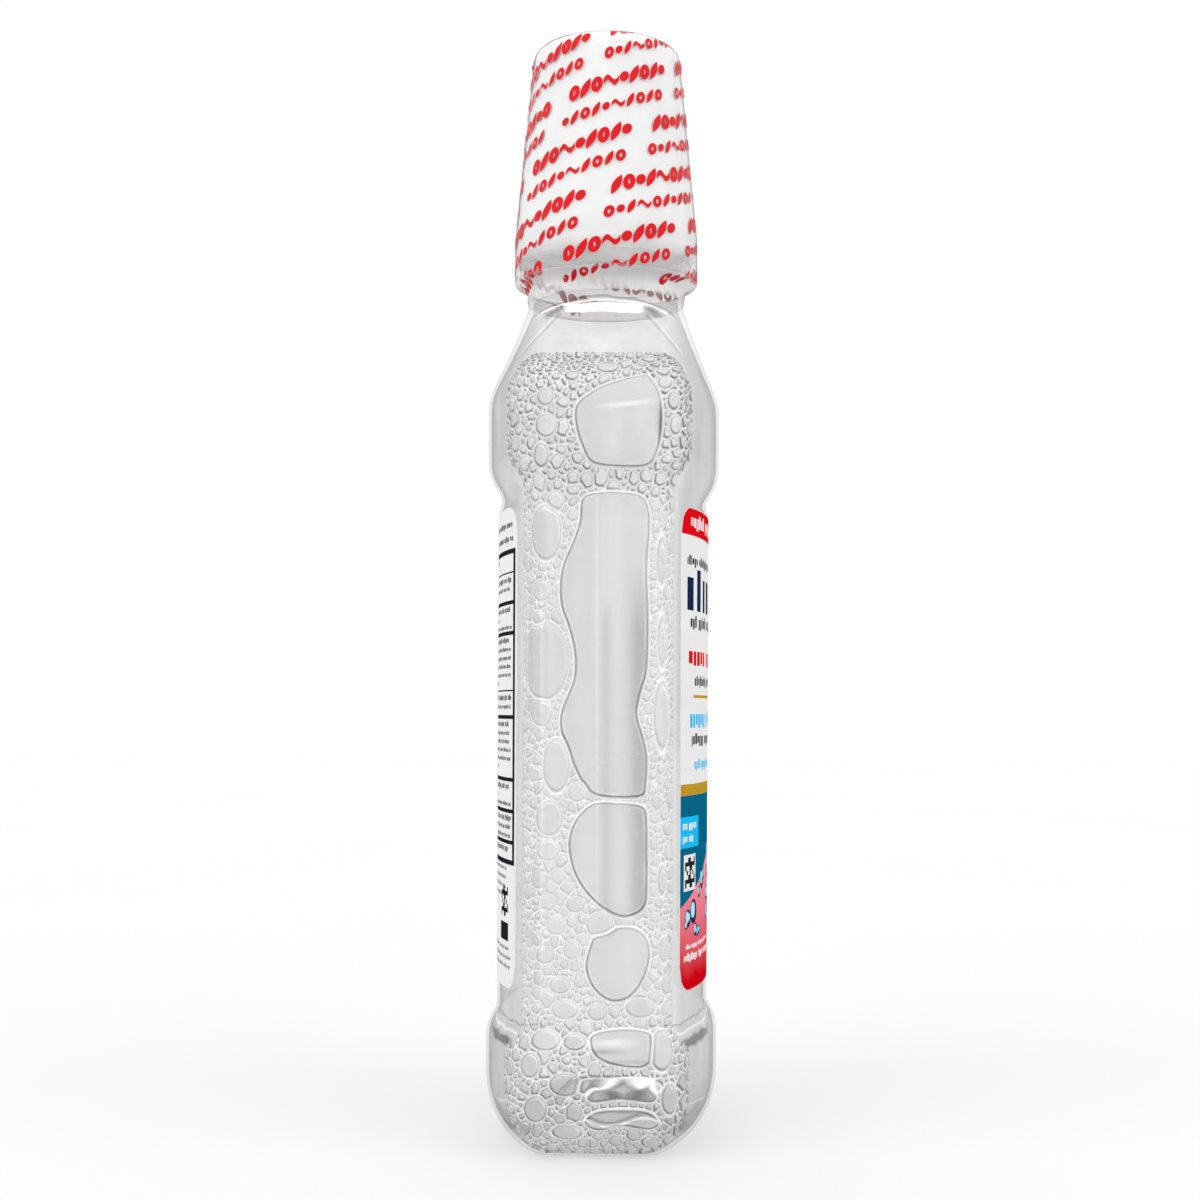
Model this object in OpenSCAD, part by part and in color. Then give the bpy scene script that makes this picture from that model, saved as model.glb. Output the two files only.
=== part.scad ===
// Mouthwash bottle: clear blown bottle with a screw-on dosing cap under shrink film
// Stands on z = 0, wide side along X, front label on the -Y side

/* [Body] */
// Width across the base and shoulder bands
body_w = 83; // [76:0.5:90]
// Depth across the base and shoulder bands
body_d = 48.7; // [45:0.1:54]
// Width of the narrow side face at the bands, corner to corner
side_face_w = 34.6; // [28:0.1:38]
// How far the label panel sits in from the bands at each narrow side
panel_inset_side = 1.5; // [0.5:0.1:2.5]
// How far the label panel sits in from the bands at front and back
panel_inset_face = 2.15; // [0.8:0.05:3]
// Width of the narrow side face at the label panel
panel_face_w = 28.6; // [24:0.1:32]
// Extra inset of the waist groove between the label panel and the shoulder
waist_inset = 0.8; // [0.2:0.1:1.4]
// Radius of the four upright corners
corner_r = 4; // [2:0.5:6]
// Bow of the front and back faces: a higher number is flatter in the middle
face_bow = 2.54; // [2.2:0.02:3]
// Thickness of the blown wall
wall = 0.5; // [0.4:0.05:0.9]

/* [Base] */
// Width of the foot outline
foot_w = 72; // [64:0.5:73]
// Depth of the foot outline
foot_d = 32.4; // [28:0.2:35]
// Width of the ring that the bottle stands on
foot_land = 4; // [2.5:0.5:6]
// Depth of the push-up in the middle of the base
push_up = 4.5; // [2:0.5:7]
// Height of the rounding from the foot to the base band
base_round_h = 12.8; // [9:0.1:15]
// Roundness of that rounding: 2 is elliptical, lower is closer to a chamfer
base_round_power = 1.9; // [1.5:0.02:2.2]

/* [Heights] */
// Height of the upright base band
base_band_h = 8; // [6:0.5:14]
// Height of the step from the base band in to the label panel
base_step_h = 5.4; // [4:0.1:8]
// Height of the waist groove
waist_h = 1.9; // [1.2:0.1:3]
// Height of the step from the waist out to the shoulder band
shoulder_step_h = 7.9; // [6:0.1:10]
// Height of the upright shoulder band
shoulder_band_h = 11.5; // [8:0.5:16]
// Height of the rounding above the shoulder band
shoulder_round_h = 3.5; // [2.5:0.1:5]
// How far that rounding draws in the narrow sides
shoulder_draw_side = 1; // [0.6:0.1:1.6]
// How far that rounding draws in the front and back
shoulder_draw_face = 0.85; // [0.5:0.05:1.4]
// Height of the sloping shoulder up to the neck
shoulder_slope_h = 19.7; // [16:0.1:26]

/* [Neck] */
// Diameter of the plain neck below the thread
neck_d = 33.4; // [31:0.1:34]
// Height of the plain neck below the thread
neck_h = 4.9; // [3:0.1:6]
// Diameter at the root of the thread
finish_d = 34.6; // [34.2:0.1:35]
// Height of the threaded finish, from the plain neck to the lip
finish_h = 8.1; // [7.8:0.1:12]
// Height of the cone between the plain neck and the threaded finish
flare_h = 0.6; // [0.4:0.1:1.4]
// Bore through the neck
bore_d = 31.2; // [29:0.1:31.6]
// Diameter over the neck's thread
thread_d = 36.7; // [36.3:0.1:36.9]
// Rise of the thread in one turn
thread_pitch = 4.2; // [4:0.1:4.6]
// Turns of thread on the neck
neck_turns = 1.25; // [1:0.05:1.3]
// Turns of thread in the cap
cap_turns = 1; // [0.8:0.05:1]
// Height of a thread at its root
thread_root_w = 1.9; // [1.6:0.1:2]
// Height of a thread at its crest
thread_crest_w = 0.9; // [0.6:0.1:1.1]
// Room between the neck's thread and the cap's bore, and the cap's thread and the neck
thread_gap = 0.25; // [0.2:0.01:0.3]

/* [Cap] */
// Outer diameter of the cap's threaded band
cap_d = 39; // [38.8:0.1:40.5]
// Outer diameter of the cap at its top
cap_top_d = 31.3; // [29:0.1:33]
// Height of the cap
cap_h = 50; // [42:0.1:56]
// How far the cap's rim reaches below the neck's lip
cap_reach = 6.6; // [6.3:0.1:7]
// Wall of the tapered cup
cup_wall = 1.1; // [0.9:0.05:1.5]
// Thickness of the cap's closed top
cup_top = 1.3; // [1:0.1:2]
// Radius of the cap's top edge
cap_edge_r = 2.7; // [2:0.1:4]
// Thickness of the ledge that presses the liner on the lip
seat_t = 1.4; // [1:0.1:2]
// Thickness of the liner ring
liner_t = 1; // [0.8:0.1:1.4]
// Bore of the ledge and the liner
seat_bore_d = 31.6; // [30:0.1:32]

/* [Shrink film] */
// Thickness of the film
film_t = 0.12; // [0.1:0.01:0.2]
// Room between the film and what it is shrunk on
film_gap = 0.03; // [0.02:0.01:0.05]
// Radius of the open circle that the film leaves on the cap's top
film_open_r = 9.5; // [7:0.5:12]
// How far the hem reaches down the neck below the cap's rim
hem_h = 4.6; // [3.4:0.1:5]
// Room at the tear line between the sleeve and the hem
tear_gap = 0.1; // [0.05:0.01:0.2]

/* [Labels] */
// Width of each label, straight across the face
label_w = 72; // [60:0.5:73]
// Height of each label
label_h = 96.2; // [80:0.1:110]
// How far the label's lower edge stands above the panel's lower edge
label_rise = 6.2; // [3:0.1:7]
// Room between the label's upper edge and the panel's upper edge
label_top_room = 0.9; // [0.5:0.1:4]
// Radius of the labels' corners
label_corner_r = 5; // [2:0.5:10]
// Thickness of a label
label_t = 0.1; // [0.08:0.01:0.2]
// Room between a label and the panel
label_gap = 0.02; // [0.01:0.01:0.05]

/* [Contents] */
// Room between the liquid and the wall
wet_gap = 0.05; // [0.03:0.01:0.1]
// Depth of the foam behind the narrow face at the bands
foam_depth = 4.1; // [3:0.1:6]
// Room between the foam and the liquid
foam_gap = 0.05; // [0.03:0.01:0.1]
// How far the liquid stands above the foot of the plain neck
fill_rise = 2; // [0:0.1:3]

/* [Hidden] */
$fn = 96;

// Points on a quarter outline: the narrow face, the corner arc and the bowed face
FLAT_STEPS = 3;
ARC_STEPS = 4;
BOW_STEPS = 8;
ROUND_STEPS = 6;
SLOPE_STEPS = 4;
EDGE_STEPS = 8;
THREAD_STEPS = 32;
THREAD_FADE = 40;

// How far one solid reaches into the next, or a cut past a face
overlap = 1;
// How far the top edge of the shoulder stands outside the neck and its bore
neck_step = 0.15;

// Half sizes
half_w = body_w / 2;
half_d = body_d / 2;
half_face = side_face_w / 2;
panel_half_w = half_w - panel_inset_side;
panel_half_d = half_d - panel_inset_face;
panel_half_face = panel_face_w / 2;

// Levels from the foot up
band_z = base_round_h;
step_z = band_z + base_band_h;
panel_z = step_z + base_step_h;
panel_top_z = panel_z + label_rise + label_h + label_top_room;
waist_z = panel_top_z + waist_h;
shoulder_z = waist_z + shoulder_step_h;
shoulder_top_z = shoulder_z + shoulder_band_h;
slope_z = shoulder_top_z + shoulder_round_h;
neck_z = slope_z + shoulder_slope_h;
finish_z = neck_z + neck_h;
lip_z = finish_z + finish_h;

// Neck and cap radii
neck_r = neck_d / 2;
finish_r = finish_d / 2;
bore_r = bore_d / 2;
thread_r = thread_d / 2;
cap_r = cap_d / 2;
cap_top_r = cap_top_d / 2;
cap_bore_r = thread_r + thread_gap;
cap_thread_r = finish_r + thread_gap;
seat_bore_r = seat_bore_d / 2;
rim_z = lip_z - cap_reach;
seat_z = lip_z + liner_t;
cap_band_top_z = seat_z + seat_t;
cap_top_z = rim_z + cap_h;
cap_slope = (cap_r - cap_top_r) / (cap_top_z - cap_band_top_z);

// Threads: the neck's ends just below the lip, and the cap's starts just inside the rim, turned
// so that it runs half a pitch below the neck's
thread_margin = 0.25;
thread_sink = 0.3;
neck_thread_z = lip_z - thread_margin - thread_root_w / 2 - neck_turns * thread_pitch;
cap_thread_z = rim_z + thread_margin + thread_root_w / 2;
cap_thread_start = 360 * ((cap_thread_z - neck_thread_z) / thread_pitch + 0.5);

// Labels and contents
label_z = panel_z + label_rise;
label_half_w = label_w / 2;
liquid_x = half_w - wall - foam_depth;
film_step = film_gap + film_t;

// Outline of the body
// Height of the bowed face above the middle plane, at x across an outline of half size a by b
function bow(x, a, b, f) = b - (b - f) * pow(abs(x) / a, face_bow);

// Slope angle of the bowed face at x
function bow_angle(x, a, b, f) = atan((b - f) * face_bow / a * pow(abs(x) / a, face_bow - 1));

// First quarter of the outline, from the narrow face round to the middle of the bowed face
function quarter(a, b, f, r) =
    let (turn = bow_angle(a - r / 2, a, b, f))
    let (x1 = a - r * (1 - sin(turn)))
    let (y1 = bow(x1, a, b, f))
    let (cx = x1 - r * sin(turn), cy = y1 - r * cos(turn))
    concat(
        [for (i = [0 : FLAT_STEPS - 1]) [a, cy * i / FLAT_STEPS]],
        [for (i = [0 : ARC_STEPS - 1])
            let (t = 90 + (turn - 90) * i / ARC_STEPS)
            [cx + r * sin(t), cy + r * cos(t)]],
        [for (i = [0 : BOW_STEPS - 1])
            let (x = x1 * (1 - i / BOW_STEPS))
            [x, bow(x, a, b, f)]]);

function reversed(list) = [for (i = [len(list) - 1 : -1 : 0]) list[i]];
function without_first(list) = [for (i = [1 : len(list) - 1]) list[i]];

// Whole outline, mirrored from its first quarter
function outline(a, b, f, r) =
    let (q = quarter(a, b, f, r))
    let (half = concat(q, [[0, b]], [for (p = reversed(q)) [-p[0], p[1]]]))
    concat(half, [for (p = without_first(reversed(without_first(half)))) [p[0], -p[1]]]);

// One level of the loft: height, half width, half depth, half face, share of the neck circle
// and corner radius
function level(z, a, b, f, t = 0, r = corner_r) = [z, a, b, f, t, r];

// Ring of points at a level, drawn in by inset and blended to a circle of radius r by its share
function ring(v, inset, r) =
    let (a = v[1] - inset, b = v[2] - inset, f = v[3] - inset, t = v[4])
    [for (p = outline(a, b, f, v[5] - inset))
        let (ang = atan2(p[1] / b, p[0] / a))
        [p[0] * (1 - t) + r * cos(ang) * t, p[1] * (1 - t) + r * sin(ang) * t, v[0]]];

// Share of the base rounding that is still drawn in at a share s of its height
function drawn(s) = 1 - pow(1 - pow(1 - s, base_round_power), 1 / base_round_power);

function mix(a, b, t) = a + (b - a) * t;

// Push-up from its middle outwards: shares of its height, of the foot's half width and half depth,
// of the half depth for the narrow face, and of the corner radius
PUSH_UP_SHAPE = [[1, 0.5, 0.4, 0.3, 0.5], [0.8, 0.7, 0.55, 0.4, 0.6]];
LAND_RADIUS = 0.75;
LAND_FACE = 0.5;

// Standing ring, rounding and base band. The inside is drawn in and lifted by up; its push-up
// grows by as much, so that the wall stays on the same side of it
function base_levels(up) =
    let (fw = foot_w / 2, fd = foot_d / 2, grow = up * 2)
    let (ff = half_face - (half_d - fd))
    concat(
        [for (s = PUSH_UP_SHAPE)
            level(push_up * s[0] + up, fw * s[1] + grow, fd * s[2] + grow, fd * s[3] + grow,
                  r = corner_r * s[4] + up)],
        [level(up, fw - foot_land + grow, fd - foot_land + grow,
               ff - foot_land * LAND_FACE + grow, r = corner_r * LAND_RADIUS + up)],
        [for (i = [0 : ROUND_STEPS])
            let (s = i / ROUND_STEPS, g = drawn(s))
            level(mix(up, band_z, s), mix(half_w, fw, g), mix(half_d, fd, g),
                  mix(half_face, ff, g))]);

// A step between a band and the panel: its share of the height and of the way in
STEP_SHAPE = [[0, 0], [0.25, 0.1], [0.7, 0.82], [1, 1]];

function step_levels(z, h, from, to) =
    [for (s = STEP_SHAPE)
        level(z + h * s[0], mix(from[0], to[0], s[1]), mix(from[1], to[1], s[1]),
              mix(from[2], to[2], s[1]))];

function body_levels(up) =
    let (band = [half_w, half_d, half_face])
    let (panel = [panel_half_w, panel_half_d, panel_half_face])
    let (waist = [panel_half_w, panel_half_d - waist_inset, panel_half_face])
    let (drawn_w = half_w - shoulder_draw_side, drawn_d = half_d - shoulder_draw_face)
    let (drawn_face = half_face - shoulder_draw_face)
    concat(
        base_levels(up),
        step_levels(step_z, base_step_h, band, panel),
        [level(panel_top_z, panel[0], panel[1], panel[2])],
        reversed([for (v = step_levels(0, 1, band, waist))
            level(mix(shoulder_z, waist_z, v[0]), v[1], v[2], v[3])]),
        [level(shoulder_top_z, half_w, half_d, half_face),
         level(mix(shoulder_top_z, slope_z, 0.5), half_w - shoulder_draw_side * 0.3,
               half_d - shoulder_draw_face * 0.3, half_face - shoulder_draw_face * 0.3)],
        [for (i = [0 : SLOPE_STEPS])
            let (t = i / SLOPE_STEPS)
            level(mix(slope_z, neck_z, t), drawn_w, drawn_d, drawn_face, t)]);

// A closed solid through rings of points, the first ring lowest on its outside
module loft(rings) {
    n = len(rings[0]);
    last = (len(rings) - 1) * n;
    // The end faces start at the middle of the bowed face, so that no triangle there is flat
    first = n / 4;
    sides = [for (k = [0 : len(rings) - 2], i = [0 : n - 1])
        let (a = k * n + i, b = k * n + (i + 1) % n)
        each [[a, a + n, b + n], [a, b + n, b]]];
    polyhedron(points = [for (r = rings) each r],
               faces = concat([[for (i = [0 : n - 1]) (i + first) % n]], sides,
                              [[for (i = [n - 1 : -1 : 0]) last + (i + first) % n]]));
}

// The body's form drawn in by inset, its base lifted by up and its neck end raised by rise
module body_solid(inset, up, neck_radius, rise = 0) {
    top = level(neck_z + rise, half_w, half_d, half_face, 1);
    levels = concat(body_levels(up), rise > 0 ? [top] : []);
    loft([for (v = levels) ring(v, inset, neck_radius)]);
}

// Helical thread of some turns from height z0 and angle start, its root at radius r_root and
// its crest at r_crest
module thread(r_root, r_crest, z0, turns, start = 0) {
    steps = ceil(turns * THREAD_STEPS);
    sink = sign(r_root - r_crest) * thread_sink;
    inward = r_crest < r_root;
    loft_strip([for (i = [0 : steps])
        let (ang = 360 * turns * i / steps)
        let (z = z0 + thread_pitch * ang / 360)
        let (fade = min(1, ang / THREAD_FADE, (360 * turns - ang) / THREAD_FADE))
        let (tip = mix(r_root + sink / 2, r_crest, fade))
        let (section = [[r_root + sink, -thread_root_w / 2], [tip, -thread_crest_w / 2],
                        [tip, thread_crest_w / 2], [r_root + sink, thread_root_w / 2]])
        [for (p = inward ? reversed(section) : section)
            [p[0] * cos(ang + start), p[0] * sin(ang + start), z + p[1]]]]);
}

// A closed solid through four-sided sections in order along a strip
module loft_strip(sections) {
    n = len(sections[0]);
    last = (len(sections) - 1) * n;
    sides = [for (k = [0 : len(sections) - 2], i = [0 : n - 1])
        let (a = k * n + i, b = k * n + (i + 1) % n)
        each [[a, b + n, a + n], [a, b, b + n]]];
    polyhedron(points = [for (s = sections) each s],
               faces = concat([[for (i = [n - 1 : -1 : 0]) i]], sides,
                              [[for (i = [0 : n - 1]) last + i]]));
}

// Bottle
module neck_solid() {
    lip_edge = 0.4;
    rotate_extrude()
        polygon([[0, neck_z - overlap], [neck_r, neck_z - overlap],
                 [neck_r, finish_z - flare_h], [finish_r, finish_z],
                 [finish_r, lip_z - lip_edge], [finish_r - lip_edge, lip_z], [0, lip_z]]);
}

module bottle() {
    color([0.9, 0.95, 0.98, 0.35])
        difference() {
            union() {
                body_solid(0, 0, neck_r + neck_step);
                neck_solid();
                thread(finish_r, thread_r, neck_thread_z, neck_turns);
            }
            body_solid(wall, wall, bore_r + neck_step);
            translate([0, 0, neck_z - overlap])
                cylinder(r = bore_r, h = lip_z - neck_z + overlap * 2);
        }
}

// Cap
// Radius of the cap's outside at height z on the tapered cup
function cup_r(z) = cap_r - (z - cap_band_top_z) * cap_slope;

// Half outline of a cap-like shape grown by g, from its rim up to its middle
module cap_outline(g, from_z, top_z, edge) {
    polygon(concat([[0, from_z], [cap_r + g, from_z], [cap_r + g, cap_band_top_z]],
                   [for (i = [0 : EDGE_STEPS])
                       let (t = 90 * i / EDGE_STEPS)
                       [cup_r(top_z) + g - edge * (1 - cos(t)), top_z + g - edge * (1 - sin(t))]],
                   [[0, top_z + g]]));
}

module cap() {
    color([0.96, 0.96, 0.95])
        union() {
            difference() {
                rotate_extrude()
                    cap_outline(0, rim_z, cap_top_z, cap_edge_r);
                translate([0, 0, rim_z - overlap])
                    cylinder(r = cap_bore_r, h = seat_z - rim_z + overlap);
                translate([0, 0, seat_z - overlap])
                    cylinder(r = seat_bore_r, h = seat_t + overlap * 2);
                cup_inside();
            }
            thread(cap_bore_r, cap_thread_r, cap_thread_z, cap_turns, cap_thread_start);
        }
}

// Room inside the tapered cup above the ledge
module cup_inside() {
    top_z = cap_top_z - cup_top;
    edge = cap_edge_r - cup_wall;
    rotate_extrude()
        polygon(concat([[0, cap_band_top_z], [cup_r(cap_band_top_z) - cup_wall, cap_band_top_z]],
                       [for (i = [0 : EDGE_STEPS])
                           let (t = 90 * i / EDGE_STEPS)
                           [cup_r(top_z) - cup_wall - edge * (1 - cos(t)),
                            top_z - edge * (1 - sin(t))]],
                       [[0, top_z]]));
}

// Foam ring between the lip and the cap's ledge
module cap_liner() {
    liner_gap = 0.05;
    color([0.93, 0.93, 0.92])
        translate([0, 0, lip_z])
            difference() {
                cylinder(r = cap_bore_r - liner_gap * 2, h = liner_t - liner_gap);
                translate([0, 0, -overlap])
                    cylinder(r = seat_bore_r, h = liner_t + overlap * 2);
            }
}

// Shrink film over the cap, open on the middle of its top
module sleeve() {
    from_z = rim_z - tear_gap;
    color([0.88, 0.1, 0.12])
        difference() {
            rotate_extrude()
                cap_outline(film_step, from_z, cap_top_z, cap_edge_r + film_step);
            rotate_extrude()
                cap_outline(film_gap, from_z - overlap, cap_top_z, cap_edge_r + film_gap);
            cylinder(r = film_open_r, h = cap_top_z + overlap);
        }
}

// Hem of the film: from under the rim in to the neck, below the tear line
module sleeve_hem() {
    top_z = rim_z - tear_gap * 2;
    foot_z = rim_z - hem_h;
    tuck_r = neck_r + film_gap * 2;
    tuck_z = finish_z - flare_h - film_gap;
    band_h = 0.3;
    color([0.88, 0.1, 0.12])
        rotate_extrude()
            polygon([[tuck_r, foot_z], [tuck_r + film_t, foot_z],
                     [tuck_r + film_t, tuck_z - film_step * 2],
                     [cap_r + film_step, top_z - band_h - film_t], [cap_r + film_step, top_z],
                     [cap_r + film_gap, top_z], [cap_r + film_gap, top_z - band_h],
                     [tuck_r, tuck_z - film_t]]);
}

// Labels
// A sheet on the bowed face: its room to the panel and its thickness, on the +Y side
module label_sheet() {
    a = panel_half_w;
    b = panel_half_d;
    f = panel_half_face;
    turn = bow_angle(a - corner_r / 2, a, b, f);
    x1 = a - corner_r * (1 - sin(turn));
    xs = [for (i = [-BOW_STEPS : BOW_STEPS]) x1 * i / BOW_STEPS];
    inner = [for (x = xs) [x, bow(x, a, b, f) + label_gap]];
    outer = [for (x = xs) [x, bow(x, a, b, f) + label_gap + label_t]];
    intersection() {
        translate([0, 0, label_z])
            linear_extrude(label_h)
                polygon(concat(inner, reversed(outer)));
        translate([0, 0, label_z])
            rotate([90, 0, 180])
                linear_extrude(half_d * 2)
                    label_shape();
    }
}

// A label's flat outline with round corners, its lower edge on the X axis
module label_shape() {
    r = label_corner_r;
    translate([-label_half_w + r, 0])
        square([label_w - r * 2, label_h]);
    translate([-label_half_w, r])
        square([label_w, label_h - r * 2]);
    for (x = [-label_half_w + r, label_half_w - r], z = [r, label_h - r])
        translate([x, z])
            circle(r = r);
}

module front_label() {
    color("white")
        rotate([0, 0, 180])
            label_sheet();
}

module back_label() {
    color("white")
        label_sheet();
}

// Contents
// Everything inside the wall up to the fill level
module filled() {
    body_solid(wall + wet_gap, wall + wet_gap, bore_r - wet_gap, fill_rise);
}

module mouthwash() {
    color([0.85, 0.93, 0.95, 0.5])
        intersection() {
            filled();
            translate([-liquid_x + foam_gap, -half_d, 0])
                cube([half_w + liquid_x, body_d, lip_z]);
        }
}

// Foam and air against the wall of the narrow side
module foam() {
    color([0.96, 0.97, 0.98, 0.6])
        intersection() {
            filled();
            translate([-half_w, -half_d, 0])
                cube([half_w - liquid_x, body_d, lip_z]);
        }
}

bottle();
cap();
cap_liner();
sleeve();
sleeve_hem();
front_label();
back_label();
mouthwash();
foam();
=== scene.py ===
import math
import random

import bpy
import numpy as np
from mathutils import Matrix


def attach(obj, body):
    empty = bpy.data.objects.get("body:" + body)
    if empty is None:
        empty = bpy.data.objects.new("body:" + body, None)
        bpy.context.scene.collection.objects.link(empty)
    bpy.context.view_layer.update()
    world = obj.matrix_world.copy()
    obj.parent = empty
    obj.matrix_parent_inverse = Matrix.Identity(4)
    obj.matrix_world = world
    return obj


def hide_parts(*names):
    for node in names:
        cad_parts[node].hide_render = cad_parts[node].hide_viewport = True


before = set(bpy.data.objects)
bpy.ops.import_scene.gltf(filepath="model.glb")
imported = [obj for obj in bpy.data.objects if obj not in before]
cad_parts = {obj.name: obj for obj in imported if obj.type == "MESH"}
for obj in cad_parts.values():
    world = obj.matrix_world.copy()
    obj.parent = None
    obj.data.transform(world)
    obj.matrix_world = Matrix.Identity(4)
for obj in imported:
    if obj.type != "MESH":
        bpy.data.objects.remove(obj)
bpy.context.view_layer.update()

MM = 0.001

# Camera, fitted to the photograph's outline
VIEW_AZIMUTH = -88.2
VIEW_DISTANCE = 401.0
VIEW_HEIGHT = 88.0
VIEW_ROLL = 0.26
FOCAL_PX = 1850.0
IMAGE_PX = 1200.0
SHIFT = (-0.0034, 0.0925)

# Body: half width, half depth and half of the narrow face, as in the part's source
BAND = (41.5, 24.35, 17.3)
PANEL = (40.0, 22.2, 14.3)
WAIST = (40.0, 21.4, 14.3)
DRAWN = (40.5, 23.5, 16.45)
FOOT = (36.0, 16.2, 9.15)
CORNER_R = 4.0
FACE_BOW = 2.54
WALL = 0.5
PUSH_UP = 4.5
FOOT_LAND = 4.0
ROUND_POWER = 1.9
BAND_Z, STEP_Z, PANEL_Z, PANEL_TOP_Z = 12.8, 20.8, 26.2, 129.5
WAIST_Z, SHOULDER_Z, SHOULDER_TOP_Z, SLOPE_Z, NECK_Z = 131.4, 139.3, 150.8, 154.3, 174.0
FINISH_Z, LIP_Z, FLARE_H = 178.9, 187.0, 0.6
NECK_R, FINISH_R, THREAD_R, BORE_R, NECK_STEP = 16.7, 17.3, 18.35, 15.6, 0.15
PITCH = 4.2
NECK_TURNS, CAP_TURNS = 1.25, 1.0
NECK_THREAD_Z, CAP_THREAD_Z, CAP_THREAD_START = 180.55, 181.6, 270.0
THREAD_FADE, THREAD_SINK = 40, 0.05
# The mould's seam up the narrow faces
SEAM_H, SEAM_W, SEAM_FROM_X = 0.07, 0.2, 32

# Cap and film
CAP_R, CAP_TOP_R, CAP_BORE_R, SEAT_BORE_R = 19.5, 15.65, 18.6, 15.8
CAP_THREAD_R = 17.55
RIM_Z, SEAT_Z, CAP_BAND_Z, CAP_TOP_Z = 180.4, 188.0, 189.4, 230.4
CUP_WALL, CUP_TOP, CAP_EDGE_R = 1.1, 1.3, 2.7
FILM_T, FILM_GAP, FILM_OPEN_R, TEAR_GAP, HEM_H = 0.12, 0.03, 9.5, 0.1, 4.6
# The visible film stands off this far, so that its creases clear the cap, and is this thick
CREASE_LIFT, SKIN_T = 0.06, 0.08
TEAR_Z = RIM_Z - TEAR_GAP * 1.5

# Labels and contents
LABEL_HALF_W, LABEL_Z, LABEL_TOP_Z, LABEL_CORNER_R = 36.0, 32.4, 128.6, 5.0
LABEL_T, LABEL_GAP = 0.1, 0.02
INK_STEP = 0.004
WET_GAP = 0.05
LIQUID_X = 36.9
FILL_Z = 176.0

# Steps along a quarter of an outline and up the base, and points around a round piece
SEAM_Y = (0.0, 0.15, 0.35, 0.7)
FLAT_N, ARC_N, BOW_N, BASE_N = 8, 12, 26, 18
ROUND_N = 160


def mix(a, b, t):
    return a + (b - a) * t


def mix_all(start, end, t):
    return tuple(mix(a, b, t) for a, b in zip(start, end))


# Camera


def camera_axes():
    az = math.radians(VIEW_AZIMUTH)
    place = np.array([VIEW_DISTANCE * math.sin(az), -VIEW_DISTANCE * math.cos(az), VIEW_HEIGHT])
    right = np.array([math.cos(az), math.sin(az), 0.0])
    return place, right, np.array([-math.sin(az), math.cos(az), 0.0])


def to_image(points):
    """Pixels of points (in mm) in the 1200 pixel frame."""
    place, right, ahead = camera_axes()
    rel = np.asarray(points) - place
    depth = rel @ ahead
    across, up = rel @ right, rel[..., 2]
    roll = math.radians(VIEW_ROLL)
    x = across * math.cos(roll) + up * math.sin(roll)
    y = up * math.cos(roll) - across * math.sin(roll)
    half = IMAGE_PX / 2
    return (half + FOCAL_PX * x / depth - SHIFT[0] * IMAGE_PX,
            half - FOCAL_PX * y / depth + SHIFT[1] * IMAGE_PX)


def make_camera():
    data = bpy.data.cameras.new("camera")
    data.sensor_width = 36
    data.lens = FOCAL_PX / IMAGE_PX * data.sensor_width
    data.shift_x, data.shift_y = SHIFT
    data.clip_start = 0.01
    camera = bpy.data.objects.new("camera", data)
    camera.matrix_world = (Matrix.Translation(camera_axes()[0] * MM)
                           @ Matrix.Rotation(math.radians(VIEW_AZIMUTH), 4, "Z")
                           @ Matrix.Rotation(math.pi / 2, 4, "X")
                           @ Matrix.Rotation(math.radians(VIEW_ROLL), 4, "Z"))
    bpy.context.scene.collection.objects.link(camera)
    bpy.context.scene.camera = camera


# Meshes


def mesh_piece(name, points, faces, materials, face_materials=None, attributes=()):
    """A smooth piece from points in mm."""
    mesh = bpy.data.meshes.new(name)
    mesh.from_pydata((np.asarray(points) * MM).tolist(), [], [list(map(int, f)) for f in faces])
    for m in materials:
        mesh.materials.append(m)
    if face_materials is not None:
        mesh.polygons.foreach_set("material_index", np.asarray(face_materials, np.int32))
    mesh.polygons.foreach_set("use_smooth", [True] * len(mesh.polygons))
    for label, values in attributes:
        layer = mesh.attributes.new(label, "FLOAT", "POINT")
        layer.data.foreach_set("value", np.asarray(values, np.float32))
    mesh.update()
    piece = bpy.data.objects.new(name, mesh)
    bpy.context.scene.collection.objects.link(piece)
    return piece


def tube_faces(rows, n, start=0, closed=True):
    """Quads between rows of n points, each row after the one below it."""
    faces = []
    for k in range(rows - 1):
        for i in range(n if closed else n - 1):
            a, b = start + k * n + i, start + k * n + (i + 1) % n
            faces.append((a, b, b + n, a + n))
    return faces


def strip_faces(steps):
    """Quads of a strip whose points come in pairs, low and high."""
    return [(2 * i, 2 * i + 2, 2 * i + 3, 2 * i + 1) for i in range(steps)]


def closed_skin(rows):
    """Points and faces of rows of points, with a fan over the first and the last row."""
    points, n = [tuple(p) for row in rows for p in row], len(rows[0])
    faces = tube_faces(len(rows), n)
    for first, upper in ((0, False), ((len(rows) - 1) * n, True)):
        points.append((0.0, 0.0, points[first][2]))
        last = len(points) - 1
        for i in range(n):
            a, b = first + i, first + (i + 1) % n
            faces.append((b, last, a) if upper else (a, last, b))
    return points, faces


def circle(ang, r, z):
    return np.column_stack([r * np.cos(ang), r * np.sin(ang), np.full(len(ang), z)])


def finish_piece(piece, body, slot, *nodes):
    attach(piece, body)
    if nodes:
        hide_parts(*nodes)
    return piece


# Body form


def bow(x, a, b, f):
    return b - (b - f) * (np.abs(x) / a) ** FACE_BOW


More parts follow.
